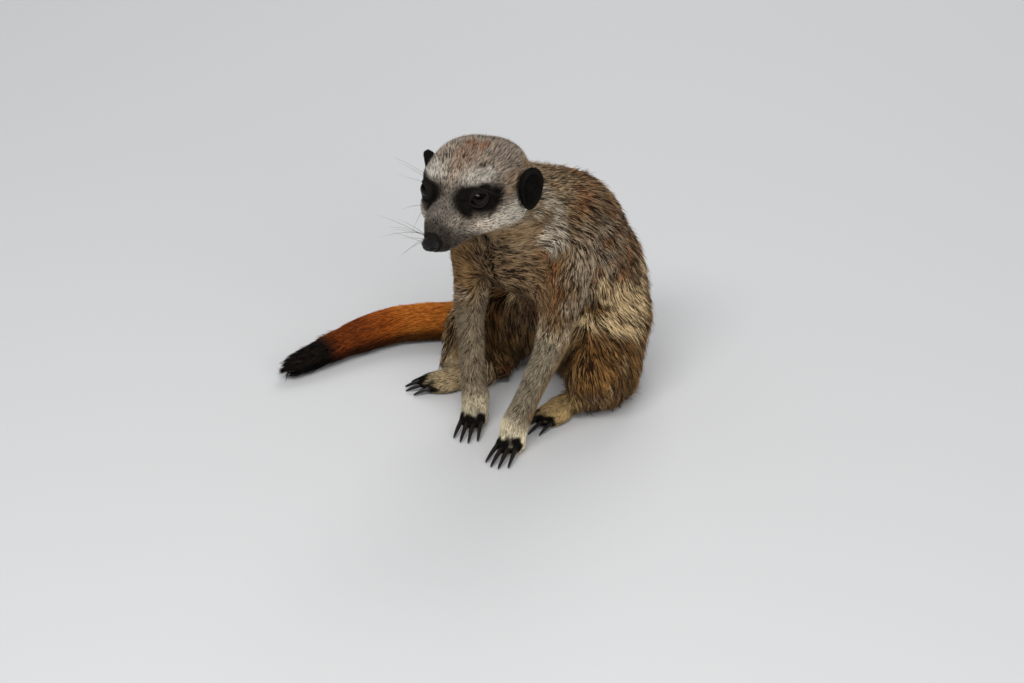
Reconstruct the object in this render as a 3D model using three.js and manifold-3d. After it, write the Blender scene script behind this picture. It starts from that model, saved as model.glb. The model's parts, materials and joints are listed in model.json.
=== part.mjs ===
// A life-size, still model of a meerkat sitting on its haunches, both forefeet on the floor
// and the tail laid round its right side.
//
// Millimetres. +X is the animal's left, -Y is forward, +Z is up, and the floor is at z = 0.
// The body is one rounded form, blended from eggs and tapered limbs, out to the tips of the
// coat. It is parted with thin cuts into head, neck, trunk, tail lengths and limb segments.
import * as THREE from "three";
import { mergeVertices } from "three/addons/utils/BufferGeometryUtils.js";
import Module from "manifold-3d";

const wasm = await Module();
wasm.setup();

// ---- driving dimensions ------------------------------------------------------------------

const GAP = 0.3; // between two parts that meet
const FLOOR = 0; // height that the feet, rump and tail rest on

// Cell sizes of the netted meshes, and sides and rings of the sleeves.
const CELL = { paw: 4.3, arm: 7.8, neck: 8.8, thigh: 10.4, trunk: 12 };
const SLEEVE = {
  head: { around: 24, rings: 22 },
  forearm: { around: 12, rings: 6 },
  tail: { around: 12, rings: 5 },
  tip: { around: 12, rings: 8 },
};
const EYE_FACETS = [12, 8]; // around and up a ball
const NOSE_FACETS = [12, 8];
const NOSTRIL_FACETS = [8, 6];
const CLAW_FACETS = { around: 5, along: 3 };

// The head's own frame: origin between the ears, +X left, -Y towards the nose, +Z to the crown.
const HEAD = { at: [5, -50, 162], turnLeft: 20, nod: 5, tilt: -5 };

const EYE = { at: [14.5, -25.5, 6.1], radius: 5.2 };
const EAR = { at: [29.8, 2.8, -2.5], radii: [4.6, 7.1, 12.9], taper: 0.22, toe: -35, tip: -12, around: 14 };
const NOSE = {
  at: [0, -56, -7.8],
  radii: [5.4, 4.2, 4.6],
  nostril: { at: [2.7, -59.6, -8], radii: [1.1, 1.8, 1.2], turn: 28 },
};

const SPINE = {
  rump: { at: [-4, 40, 38], radii: [33, 36, 40] },
  loin: { at: [-3, 34, 68], radii: [35, 37, 38], tip: -18 },
  ribs: { at: [-1, 17, 95], radii: [32, 36, 36], tip: -30 },
  withers: { at: [1, 14, 112], radii: [28, 33, 27], tip: -24 },
  chest: { at: [-6, -16, 104], radii: [24, 18, 28] },
  neck: { from: [2, -4, 122], to: [5, -38, 150], radii: [26, 22] },
};

// Each limb runs from its root joint to its last joint, with a radius at each.
const FRONT = {
  left: {
    shoulder: [25, -5, 98],
    elbow: [34, -21, 62],
    wrist: [27.4, -44.2, 14],
    toes: [33, -57.6, 5.5],
  },
  right: {
    shoulder: [-29, -20, 98],
    elbow: [-27, -29, 62],
    wrist: [-7, -42, 14],
    toes: [0.8, -53.7, 5.5],
  },
  radii: { shoulder: 17, elbow: 8.9, wrist: 6.9 },
};
const HIND = {
  left: { hip: [18, 38, 44], knee: [36, 8, 30], heel: [21, 30, 10], toes: [21.5, -24, 4.5] },
  right: { hip: [-22, 38, 44], knee: [-50, -11, 30], heel: [-26, -6, 10], toes: [-54, -44, 4.5] },
  haunch: {
    left: [
      { at: [29, 21, 31], radii: [16, 27, 26] },
      { at: [31, 24, 16], radii: [14, 24, 17] },
    ],
    right: [
      { at: [-38, 12, 32], radii: [17, 28, 25], turn: -28 },
      { at: [-45, -1, 15], radii: [14, 26, 16], turn: -28 },
    ],
  },
  radii: { hip: 23, knee: 15, shank: 12, heel: 9 },
};
const PAW = {
  front: { width: 3.8, length: 10.5, toe: 3, palm: 7.6, fan: 4 },
  hind: { width: 4.4, length: 13, toe: 3.2, palm: 8, fan: 3 },
};
const CLAW = {
  front: { length: 10.5, root: 1.8, drop: 1.5 },
  hind: { length: 6.5, root: 1.4, drop: 1.4 },
  sunk: 3.5, // of its length inside the toe
};

const TAIL = [
  { at: [-8, 62, 16], radius: 15 },
  { at: [-50, 46, 12], radius: 12.6 },
  { at: [-84, 9, 11], radius: 11.4 },
  { at: [-103, -17, 10.5], radius: 11 },
  { at: [-108, -48, 10], radius: 10.4 },
  { at: [-111, -84, 7.3], radius: 7.5 },
];

// ---- fields: the distance from a point to a surface, negative inside ----------------------

const minus = (p, q) => [p[0] - q[0], p[1] - q[1], p[2] - q[2]];
const dot = (p, q) => p[0] * q[0] + p[1] * q[1] + p[2] * q[2];
const mix = (p, q, t) => p.map((v, i) => v + (q[i] - v) * t);
const radians = THREE.MathUtils.degToRad;

// An egg with three radii. tip turns it about X and turn about Z, in degrees.
function egg({ at, radii, tip = 0, turn = 0 }) {
  const angles = new THREE.Euler(radians(tip), 0, radians(turn), "ZYX");
  const m = new THREE.Matrix4().makeRotationFromEuler(angles).elements;
  const [a, b, c] = radii;
  return (p) => {
    const d = minus(p, at);
    const x = (d[0] * m[0] + d[1] * m[1] + d[2] * m[2]) / a;
    const y = (d[0] * m[4] + d[1] * m[5] + d[2] * m[6]) / b;
    const z = (d[0] * m[8] + d[1] * m[9] + d[2] * m[10]) / c;
    const k = Math.hypot(x, y, z);
    const slope = Math.hypot(x / a, y / b, z / c);
    return slope < 1e-9 ? -Math.min(a, b, c) : (k * (k - 1)) / slope;
  };
}

// A tapered limb: the hull of two balls.
function limb(from, to, r0, r1) {
  const axis = minus(to, from);
  const length2 = dot(axis, axis);
  return (p) => {
    const d = minus(p, from);
    const t = Math.min(1, Math.max(0, dot(d, axis) / length2));
    return Math.hypot(d[0] - axis[0] * t, d[1] - axis[1] * t, d[2] - axis[2] * t) - (r0 + (r1 - r0) * t);
  };
}

// Two fields joined with a fillet about k wide, and one field with another taken out of it.
function smooth(a, b, k) {
  const h = Math.max(k - Math.abs(a - b), 0) / k;
  return Math.min(a, b) - (h * h * k) / 4;
}
const blend = (k, ...fields) => (p) => fields.map((f) => f(p)).reduce((a, b) => smooth(a, b, k));
const hollow = (k, field, tool) => (p) => -smooth(-field(p), tool(p), k);
const nearest = (...fields) => (p) => Math.min(...fields.map((f) => f(p)));

// ---- from a field to a solid ---------------------------------------------------------------

// Surface nets: a vertex in each cell for each group of joined corners that lie inside, and a
// quad round each crossed edge.
const CORNERS = [0, 1, 2, 3, 4, 5, 6, 7].map((c) => [c & 1, (c >> 1) & 1, c >> 2]);
const CELL_EDGES = CORNERS.flatMap((a, i) =>
  CORNERS.flatMap((b, j) => (j > i && dot(minus(b, a), minus(b, a)) === 1 ? [[i, j]] : [])),
);

function netOf(field, low, high, cell) {
  const n = low.map((v, i) => Math.ceil((high[i] - v) / cell) + 1);
  const stride = [1, n[0], n[0] * n[1]];
  const value = new Float64Array(n[0] * n[1] * n[2]);
  for (let k = 0, s = 0; k < n[2]; k++)
    for (let j = 0; j < n[1]; j++)
      for (let i = 0; i < n[0]; i++)
        value[s++] = field([low[0] + i * cell, low[1] + j * cell, low[2] + k * cell]);

  const vertexOf = new Int32Array(8 * value.length).fill(-1); // by cell and inside corner
  const positions = [];
  const addVertices = (s, at) => {
    const v = CORNERS.map((c) => value[s + dot(c, stride)]);
    const groupOf = v.map((_, corner) => corner);
    for (let pass = 0; pass < 4; pass++)
      for (const [i, j] of CELL_EDGES)
        if (v[i] < 0 && v[j] < 0) groupOf[i] = groupOf[j] = Math.min(groupOf[i], groupOf[j]);
    for (const group of new Set(groupOf.filter((_, corner) => v[corner] < 0))) {
      const points = CELL_EDGES.filter(([i, j]) => v[i] < 0 !== v[j] < 0)
        .filter(([i, j]) => groupOf[v[i] < 0 ? i : j] === group)
        .map(([i, j]) => mix(CORNERS[i], CORNERS[j], v[i] / (v[i] - v[j])));
      if (!points.length) continue;
      const sum = points.reduce((total, point) => total.map((v, axis) => v + point[axis]), [0, 0, 0]);
      const mean = sum.map((v) => v / points.length);
      groupOf.forEach((g, corner) => {
        if (g === group) vertexOf[8 * s + corner] = positions.length / 3;
      });
      positions.push(...settle(field, mean.map((x, axis) => low[axis] + (at[axis] + x) * cell), cell));
    }
  };
  for (let k = 0; k < n[2] - 1; k++)
    for (let j = 0; j < n[1] - 1; j++)
      for (let i = 0; i < n[0] - 1; i++) addVertices(i + j * stride[1] + k * stride[2], [i, j, k]);

  const vertexAt = (base, node) => {
    const z = node - base >= stride[2] ? 1 : 0;
    const y = node - base - z * stride[2] >= stride[1] ? 1 : 0;
    return vertexOf[8 * base + (node - base - z * stride[2] - y * stride[1]) + 2 * y + 4 * z];
  };
  const far = (p, q) => Math.hypot(...[0, 1, 2].map((x) => positions[3 * p + x] - positions[3 * q + x]));
  const index = [];
  for (let k = 1; k < n[2] - 1; k++)
    for (let j = 1; j < n[1] - 1; j++)
      for (let i = 1; i < n[0] - 1; i++)
        for (let axis = 0; axis < 3; axis++) {
          const s = i + j * stride[1] + k * stride[2];
          const inside = value[s] < 0;
          if (inside === value[s + stride[axis]] < 0) continue;
          const u = stride[(axis + 1) % 3];
          const w = stride[(axis + 2) % 3];
          const quad = [s, s - u, s - u - w, s - w].map((c) => vertexAt(c, inside ? s : s + stride[axis]));
          if (!inside) quad.reverse();
          const [a, b, c, d] = quad;
          index.push(...(far(a, c) < far(b, d) ? [a, b, c, a, c, d] : [a, b, d, b, c, d]));
        }
  const geometry = new THREE.BufferGeometry();
  geometry.setAttribute("position", new THREE.Float32BufferAttribute(positions, 3));
  geometry.setIndex(index);
  return geometry;
}

// Moves a net's vertex onto the surface, by at most a third of a cell.
function settle(field, point, cell) {
  const e = cell * 0.05;
  const slope = [0, 1, 2].map((axis) => {
    const ahead = [...point];
    const behind = [...point];
    ahead[axis] += e;
    behind[axis] -= e;
    return (field(ahead) - field(behind)) / (2 * e);
  });
  const step = field(point) / Math.max(dot(slope, slope), 0.25);
  const limit = Math.min(1, cell / 3 / Math.max(Math.abs(step) * Math.hypot(...slope), 1e-9));
  return point.map((v, axis) => v - slope[axis] * step * limit);
}

// A sleeve: rings of rays thrown out from a line to the surface, closed by a point at each end.
// The outermost rings lie close to those points, so that an end that is cut is flat.
function sleeveOf(field, from, to, { around, rings }) {
  const axis = new THREE.Vector3(...minus(to, from));
  const z = axis.clone().normalize();
  const x = new THREE.Vector3(1, 0, 0).addScaledVector(z, -z.x).normalize();
  const y = z.clone().cross(x);
  const reach = (start, way) => {
    const at = (r) => field([start[0] + way.x * r, start[1] + way.y * r, start[2] + way.z * r]);
    let far = 0;
    while (at(far) < 0) far += 1.5;
    let near = Math.max(0, far - 1.5);
    for (let pass = 0; pass < 14; pass++) {
      const half = (near + far) / 2;
      if (at(half) < 0) near = half;
      else far = half;
    }
    return [0, 1, 2].map((i) => start[i] + way.getComponent(i) * near);
  };
  const centre = mix(from, to, 0.5);
  const first = reach(centre, z.clone().negate());
  const last = reach(centre, z);
  const positions = [...first];
  for (let i = 1; i < rings; i++) {
    const even = (i - 1) / (rings - 2);
    const crowded = 0.6 * even + 0.4 * (0.5 - 0.5 * Math.cos(Math.PI * even)); // towards both ends
    const middle = mix(first, last, 0.01 + 0.98 * crowded);
    for (let j = 0; j < around; j++) {
      const turn = (2 * Math.PI * j) / around;
      const way = x.clone().multiplyScalar(Math.cos(turn)).addScaledVector(y, Math.sin(turn));
      positions.push(...reach(middle, way));
    }
  }
  positions.push(...last);
  const lastVertex = positions.length / 3 - 1;
  const onRing = (i, j) => 1 + (i - 1) * around + (j % around);
  const vertex = (i, j) => (i === 0 ? 0 : i === rings ? lastVertex : onRing(i, j));
  const index = [];
  for (let i = 0; i < rings; i++)
    for (let j = 0; j < around; j++) {
      if (i > 0) index.push(vertex(i, j), vertex(i, j + 1), vertex(i + 1, j));
      if (i < rings - 1) index.push(vertex(i, j + 1), vertex(i + 1, j + 1), vertex(i + 1, j));
    }
  const geometry = new THREE.BufferGeometry();
  geometry.setAttribute("position", new THREE.Float32BufferAttribute(positions, 3));
  geometry.setIndex(index);
  return geometry;
}

// A three.js geometry as a solid that can be joined and cut.
function solidOf(geometry) {
  const bare = geometry.clone();
  bare.deleteAttribute("normal");
  bare.deleteAttribute("uv");
  const merged = mergeVertices(bare, 1e-4);
  return new wasm.Manifold(
    new wasm.Mesh({
      numProp: 3,
      vertProperties: merged.attributes.position.array,
      triVerts: new Uint32Array(merged.index.array),
    }),
  );
}

function geometryOf(solid) {
  const mesh = solid.getMesh();
  const geometry = new THREE.BufferGeometry();
  geometry.setAttribute("position", new THREE.BufferAttribute(mesh.vertProperties, 3));
  geometry.setIndex(new THREE.BufferAttribute(mesh.triVerts, 1));
  geometry.computeVertexNormals();
  return geometry;
}

// A block whose Z axis runs from one point to another, with its width as near +X as it can be.
function blockFrame({ from, to }) {
  const z = new THREE.Vector3(...minus(to, from)).normalize();
  const x = new THREE.Vector3(1, 0, 0).addScaledVector(z, -z.x).normalize();
  return new THREE.Matrix4().makeBasis(x, z.clone().cross(x), z).setPosition(...mix(from, to, 0.5));
}
const blockSize = ({ from, to, width, depth }) => [width, depth, Math.hypot(...minus(to, from))];
function block(cut, grow = 0) {
  return new THREE.BoxGeometry(...blockSize(cut).map((v) => v + 2 * grow)).applyMatrix4(blockFrame(cut));
}
function blockField(cut, grow) {
  const inverse = blockFrame(cut).invert();
  const half = blockSize(cut).map((v) => v / 2 + grow);
  return (p) => {
    const q = new THREE.Vector3(...p).applyMatrix4(inverse);
    return Math.max(Math.abs(q.x) - half[0], Math.abs(q.y) - half[1], Math.abs(q.z) - half[2]);
  };
}

// ---- the animal's form -----------------------------------------------------------------------

const headTurn = new THREE.Euler(radians(HEAD.nod), radians(HEAD.tilt), radians(HEAD.turnLeft), "ZYX");
const headFrame = new THREE.Matrix4().makeRotationFromEuler(headTurn).setPosition(...HEAD.at);
const fromHead = (p) => new THREE.Vector3(...p).applyMatrix4(headFrame).toArray();
const headInverse = headFrame.clone().invert().elements;
// A field written in the head's own frame, used on points of the part's frame.
const onHead = (field) => (p) => {
  const m = headInverse;
  return field([0, 1, 2].map((r) => p[0] * m[r] + p[1] * m[4 + r] + p[2] * m[8 + r] + m[12 + r]));
};
const bothSides = (field) => (p) => field([Math.abs(p[0]), p[1], p[2]]);

const face = bothSides(
  hollow(
    4,
    blend(
      9,
      egg({ at: [0, 3, 3.4], radii: [26, 26, 16.2] }), // skull
      egg({ at: [10, -2, 6.5], radii: [14.5, 21, 12] }), // side of the crown
      egg({ at: [12, -13, -8], radii: [14, 19, 12], turn: 12 }), // cheek
      egg({ at: [16, 0, -12], radii: [12, 15, 11.5] }), // jowl, below the ear
      limb([0, -12, 0], [0, -37, -4.5], 17.5, 9.6), // brow to muzzle
      limb([0, -37, -4.5], [0, -53, -8.5], 9.6, 5.4), // muzzle
      limb([0, -14, -13], [0, -43, -13.5], 11, 5.2), // lower jaw
      egg({ at: [12.5, -20, 11], radii: [9, 9, 5], turn: -20 }), // brow ridge
    ),
    // the shallow dish that each eye looks out of
    egg({ at: [EYE.at[0] + 1.5, EYE.at[1] - 7, EYE.at[2]], radii: [8, 5.5, 5.5], turn: 40 }),
  ),
);
const head = onHead(face);

const { rump, loin, ribs, withers, chest, neck } = SPINE;
const masses = [rump, loin, ribs, withers, chest].map(egg);
const torso = blend(16, ...masses, limb(neck.from, neck.to, ...neck.radii));

function frontLeg({ shoulder, elbow, wrist }) {
  const r = FRONT.radii;
  return blend(6, limb(shoulder, elbow, r.shoulder, r.elbow), limb(elbow, wrist, r.elbow, r.wrist));
}
function hindLeg({ hip, knee, heel }, haunch) {
  const r = HIND.radii;
  return blend(8, ...haunch.map(egg), limb(hip, knee, r.hip, r.knee), limb(knee, heel, r.shank, r.heel));
}

// A paw points from its wrist or heel to its toes. Its four toes fan out from the knuckles.
function toesOf({ root, tip, fan, width, length }) {
  const way = new THREE.Vector3(...minus(tip, root)).setZ(0).normalize();
  const side = new THREE.Vector3(-way.y, way.x, 0);
  return [-1.5, -0.5, 0.5, 1.5].map((place) => {
    const along = way.clone().applyAxisAngle(new THREE.Vector3(0, 0, 1), -radians(fan * place));
    const end = new THREE.Vector3(...tip)
      .addScaledVector(side, -place * width)
      .addScaledVector(way, Math.abs(place) > 1 ? -0.3 * length : 0);
    const knuckle = end.clone().addScaledVector(along, -length).setZ(tip[2] + 2.5);
    return { knuckle: knuckle.toArray(), end: end.toArray(), along };
  });
}
function pawField(root, tip, paw) {
  const { toe, palm } = paw;
  const toes = toesOf({ root, tip, ...paw });
  const middle = mix(toes[1].knuckle, toes[2].knuckle, 0.5);
  const back = [root[0], root[1], Math.max(root[2], palm * 0.8)];
  const front = [middle[0], middle[1], palm * 0.55];
  const digit = ({ knuckle, end }) => limb([knuckle[0], knuckle[1], toe + 1], end, toe + 0.8, toe * 0.8);
  return blend(4, limb(back, front, palm * 0.95, palm * 0.85), nearest(...toes.map(digit)));
}
const SIDES = ["left", "right"];
const legs = SIDES.flatMap((side) => {
  const front = FRONT[side];
  const hind = HIND[side];
  return [
    blend(5, frontLeg(front), pawField(front.wrist, front.toes, PAW.front)),
    blend(5, hindLeg(hind, HIND.haunch[side]), pawField(hind.heel, hind.toes, PAW.hind)),
  ];
});
// The tail bends evenly through its joints, so it is built of short lengths along a curve.
const TAIL_STEPS = 4; // lengths between two joints
const tailCurve = new THREE.CatmullRomCurve3(TAIL.map(({ at }) => new THREE.Vector3(...at)));
const tailPoints = Array.from({ length: TAIL_STEPS * (TAIL.length - 1) + 1 }, (_, step) => {
  const joint = Math.min(Math.floor(step / TAIL_STEPS), TAIL.length - 2);
  const share = step / TAIL_STEPS - joint;
  const radius = TAIL[joint].radius * (1 - share) + TAIL[joint + 1].radius * share;
  return { at: tailCurve.getPoint((joint + share) / (TAIL.length - 1)).toArray(), radius };
});
const tailLimb = (end, i) => limb(tailPoints[i].at, end.at, tailPoints[i].radius, end.radius);
const tail = nearest(...tailPoints.slice(1).map(tailLimb));

// The whole form. The legs and tail are filleted to the trunk and left free of each other.
const body = (p) => {
  const t = torso(p);
  const withLegs = legs.map((leg) => smooth(t, leg(p), 9));
  return Math.min(smooth(t, head(p), 10), smooth(t, tail(p), 14), ...withLegs);
};
const BODY_BOX = new THREE.Box3(new THREE.Vector3(-140, -125, -20), new THREE.Vector3(80, 100, 210));

// ---- small parts set into the body ---------------------------------------------------------------

function eyeball(grow) {
  const ball = new THREE.SphereGeometry(EYE.radius + grow, ...EYE_FACETS).rotateX(Math.PI / 2);
  return solidOf(ball.translate(...EYE.at));
}

// An oval ear, broad at the top, cupped on its outer side and sunk at its root in the head.
// Its profile runs from the middle of the back, over the rim and down into the cup.
function earShape(grow) {
  const back = [[0, -1], [0.5, -0.88], [0.84, -0.5], [1, 0.05], [0.95, 0.6]];
  const cup = [[0.82, 0.8], [0.62, 0.35], [0.3, 0.05], [0, 0]];
  const lid = [[0.5, 1], [0, 1]];
  const profile = [...back, ...(grow ? lid : cup)].map(([r, out]) => new THREE.Vector2(r, out));
  const ear = new THREE.LatheGeometry(profile, EAR.around).rotateZ(-Math.PI / 2);
  const at = ear.attributes.position;
  for (let i = 0; i < at.count; i++) at.setY(i, at.getY(i) * (1 + EAR.taper * at.getZ(i)));
  ear.scale(...EAR.radii.map((r) => r + grow)).rotateX(radians(EAR.tip)).rotateZ(radians(EAR.toe));
  return solidOf(ear.translate(...EAR.at));
}

function nosePad(grow) {
  const pad = new THREE.SphereGeometry(1, ...NOSE_FACETS).rotateX(Math.PI / 2);
  const whole = solidOf(pad.scale(...NOSE.radii.map((r) => r + grow)).translate(...NOSE.at));
  if (grow) return whole;
  const nostril = new THREE.SphereGeometry(1, ...NOSTRIL_FACETS).scale(...NOSE.nostril.radii);
  const holes = [-1, 1].map((side) => {
    const [x, y, z] = NOSE.nostril.at;
    return solidOf(nostril.clone().rotateZ(radians(side * NOSE.nostril.turn)).translate(side * x, y, z));
  });
  return holes.reduce((nose, hole) => nose.subtract(hole), whole);
}

// A claw: a curved cone that leaves the end of its toe and drops to just above the floor.
function claw({ end, along }, { length, root, drop }, grow) {
  const { around, along: steps } = CLAW_FACETS;
  const side = new THREE.Vector3(-along.y, along.x, 0);
  const start = new THREE.Vector3(...end).addScaledVector(along, -CLAW.sunk - grow);
  const full = length + CLAW.sunk + grow;
  const fall = start.z - (root * 0.35 + 0.5);
  const positions = [];
  const index = [];
  for (let i = 0; i <= steps; i++) {
    const t = i / steps;
    const radius = (root + grow) * Math.sqrt(1 - 0.93 * t);
    const centre = start.clone().addScaledVector(along, full * t);
    centre.z -= fall * t ** drop;
    for (let j = 0; j < around; j++) {
      const turn = (2 * Math.PI * j) / around;
      const point = centre.clone().addScaledVector(side, 0.75 * radius * Math.cos(turn));
      positions.push(point.x, point.y, point.z + radius * Math.sin(turn));
    }
  }
  const ring = (i, j) => i * around + (j % around);
  for (let i = 0; i < steps; i++)
    for (let j = 0; j < around; j++) {
      index.push(ring(i, j), ring(i, j + 1), ring(i + 1, j + 1));
      index.push(ring(i, j), ring(i + 1, j + 1), ring(i + 1, j));
    }
  for (let j = 1; j < around - 1; j++) {
    index.push(ring(0, 0), ring(0, j + 1), ring(0, j));
    index.push(ring(steps, 0), ring(steps, j), ring(steps, j + 1));
  }
  const geometry = new THREE.BufferGeometry();
  geometry.setAttribute("position", new THREE.Float32BufferAttribute(positions, 3));
  geometry.setIndex(index);
  return solidOf(geometry);
}

// ---- the cuts ------------------------------------------------------------------------------------

const COAT = { crown: 0x8f8172, throat: 0x85705a, back: 0x76603f, rump: 0x7d6142 };
const LIMB = { arm: 0x83705a, forearm: 0xa39580, paw: 0xc0ac84, thigh: 0x7c5f41, foot: 0xbf9d6c };
const TAIL_COLOURS = [0xa06a34, 0x9c5f2a, 0x8a4a1e, 0x5a3118, 0x1c1613];
const EYE_LOOK = { colour: 0x120c08, roughness: 0.08 };
const EAR_LOOK = { colour: 0x15120f, roughness: 0.9 };
const NOSE_LOOK = { colour: 0x1d1512, roughness: 0.45 };
const CLAW_LOOK = { colour: 0x171311, roughness: 0.35 };

// Blocks for the tail run from one joint to just past the next, along that length of it.
const tailCuts = TAIL.slice(1).map((joint, i) => {
  const previous = TAIL[i];
  const from = i === 0 ? mix(previous.at, joint.at, 0.42) : previous.at;
  const way = new THREE.Vector3(...minus(joint.at, previous.at)).normalize();
  const past = (length) => new THREE.Vector3(...joint.at).addScaledVector(way, length).toArray();
  const isTip = i === TAIL.length - 2;
  return {
    name: `tail_${i + 1}`,
    from,
    to: past(14),
    width: 2 * previous.radius + 8,
    depth: 44,
    line: [mix(from, joint.at, -0.1), past(isTip ? 14 : 7)],
    sleeve: isTip ? SLEEVE.tip : SLEEVE.tail,
    colour: TAIL_COLOURS[i],
  };
});

const paws = { width: 46, depth: 46, cell: CELL.paw, colour: LIMB.paw };
const forearms = { width: 30, depth: 32, sleeve: SLEEVE.forearm, colour: LIMB.forearm };
const arms = { width: 46, depth: 38, cell: CELL.arm, colour: LIMB.arm };
const feet = { width: 34, depth: 24, cell: CELL.paw, colour: LIMB.foot };
const thighs = { width: 40, depth: 72, cell: CELL.thigh, colour: LIMB.thigh };
const across = { width: 160, depth: 160 };
const trunk = { ...across, cell: CELL.trunk, colour: COAT.back };

// Each part is what its block holds of the whole form, less the blocks listed before it.
const CUTS = [
  ...tailCuts.reverse(),
  { name: "paw_front_left", from: [29.2, -41.6, 17.4], to: [25.6, -54.7, -13], ...paws },
  { name: "paw_front_right", from: [-7, -40, 17.4], to: [5.6, -47.6, -13], ...paws, width: 34 },
  { name: "forearm_left", from: [35.3, -19, 65], to: [27.6, -47.4, 5], ...forearms },
  { name: "forearm_right", from: [-28.3, -28.3, 65], to: [-1.8, -43.3, 5], ...forearms },
  { name: "upper_arm_left", from: [43, -5, 118], to: [46, -21, 54], ...arms },
  { name: "upper_arm_right", from: [-42, -15, 118], to: [-42, -30, 54], ...arms },
  { name: "foot_hind_left", from: [21, 2, 3], to: [21, -38, 3], ...feet, width: 30 },
  { name: "foot_hind_right", from: [-29, -12, 3], to: [-62, -55, 3], ...feet, width: 38 },
  { name: "thigh_left", from: [38, 62, 32], to: [38, -34, 32], ...thighs },
  { name: "thigh_right", from: [-31, 62, 32], to: [-59, -34, 32], ...thighs },
  {
    name: "head",
    from: [5, -36, 149],
    to: [12.8, -138.7, 228.3],
    ...across,
    line: [fromHead([0, 28, 4]), fromHead([0, -52, -7.5])],
    sleeve: SLEEVE.head,
    colour: COAT.crown,
  },
  { name: "neck", from: [2, -8, 133], to: [2, -58, 220], ...across, cell: CELL.neck, colour: COAT.throat },
  { name: "trunk_front", from: [0, 10, 84], to: [0, -40, 192], ...trunk },
  { name: "trunk_middle", from: [0, 25, 48], to: [0, -5, 143], ...trunk },
  { name: "trunk_rear", from: [0, 30, -20], to: [0, 30, 110], ...trunk, colour: COAT.rump },
];

// The form inside one block, as a sleeve along a line or as a net of the part's own cell size.
// It runs a little past the block, so that the block's sides cut it cleanly.
function formIn(cut) {
  if (cut.sleeve) {
    const room = blockField(cut, 3);
    const [from, to] = cut.line ?? [cut.from, cut.to];
    return solidOf(sleeveOf((p) => Math.max(body(p), room(p)), from, to, cut.sleeve));
  }
  const room = new THREE.Box3().setFromBufferAttribute(block(cut).attributes.position);
  room.expandByScalar(3 * cut.cell).intersect(BODY_BOX);
  const low = room.min.toArray();
  const high = room.max.toArray();
  const margin = 1.5 * cut.cell;
  const inRoom = (p) => Math.max(...p.map((v, axis) => margin + Math.max(low[axis] - v, v - high[axis])));
  return solidOf(netOf((p) => Math.max(body(p), inRoom(p)), low, high, cut.cell));
}

// Where the cuts leave a loose sliver, the part is what remains without it.
const largest = (solid) => solid.decompose().reduce((a, b) => (a.volume() > b.volume() ? a : b));

const underFloor = solidOf(new THREE.BoxGeometry(600, 600, 100).translate(0, 0, FLOOR - 50));
const parts = new Map();
const taken = [];
for (const cut of CUTS) {
  let solid = formIn(cut).intersect(solidOf(block(cut))).subtract(underFloor);
  for (const earlier of taken) solid = solid.subtract(earlier);
  parts.set(cut.name, { solid: largest(solid), look: { colour: cut.colour, roughness: 0.95 } });
  taken.push(solidOf(block(cut, GAP)));
}

// Sets a small part in a body part, in a seat of the same shape grown by the gap.
function setIn(hostName, name, look, shape) {
  const host = parts.get(hostName);
  host.solid = host.solid.subtract(shape(GAP));
  parts.set(name, { solid: shape(0), look });
}

const mirrorX = new THREE.Matrix4().makeScale(-1, 1, 1);
for (const side of SIDES) {
  const frame = side === "left" ? headFrame : headFrame.clone().multiply(mirrorX);
  const onSide = (shape) => (grow) => shape(grow).transform(frame.toArray());
  setIn("head", `eye_${side}`, EYE_LOOK, onSide(eyeball));
  setIn("head", `ear_${side}`, EAR_LOOK, onSide(earShape));
}
setIn("head", "nose", NOSE_LOOK, (grow) => nosePad(grow).transform(headFrame.toArray()));

function setClaws(hostName, claws, root, tip, paw, size) {
  toesOf({ root, tip, ...paw }).forEach((toe, i) =>
    setIn(hostName, `${claws}_${i + 1}`, CLAW_LOOK, (grow) => claw(toe, size, grow)),
  );
}
for (const side of SIDES) {
  const { wrist, toes } = FRONT[side];
  setClaws(`paw_front_${side}`, `claw_front_${side}`, wrist, toes, PAW.front, CLAW.front);
}
for (const side of SIDES) {
  const { heel, toes } = HIND[side];
  setClaws(`foot_hind_${side}`, `claw_hind_${side}`, heel, toes, PAW.hind, CLAW.hind);
}

// ---- the part ------------------------------------------------------------------------------------

const group = new THREE.Group();
group.name = "meerkat";
for (const [name, { solid, look }] of parts) {
  const { colour: color, roughness } = look;
  const material = new THREE.MeshStandardMaterial({ color, roughness, metalness: 0 });
  const mesh = new THREE.Mesh(geometryOf(solid), material);
  mesh.name = name;
  group.add(mesh);
}

// The origin is the middle of the part's bounding box, on the floor.
const middle = new THREE.Box3().setFromObject(group).getCenter(new THREE.Vector3());
for (const mesh of group.children) mesh.geometry.translate(-middle.x, -middle.y, -FLOOR);

export default group;
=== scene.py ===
# %% [markdown]
# # A sitting meerkat
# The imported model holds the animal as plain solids, out to the tips of its coat. This lesson
# dresses it: one skin under the coat, a coat of small mesh locks, wet eyes, a pebbled nose,
# velvet ears, horn claws and whiskers. Everything is placed from the solids' own boxes, so
# nothing has to be fitted by eye afterwards.

# %% Load the frame
import json

import bmesh
import bpy
import numpy as np
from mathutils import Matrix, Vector
from mathutils.bvhtree import BVHTree
from mathutils.kdtree import KDTree

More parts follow.
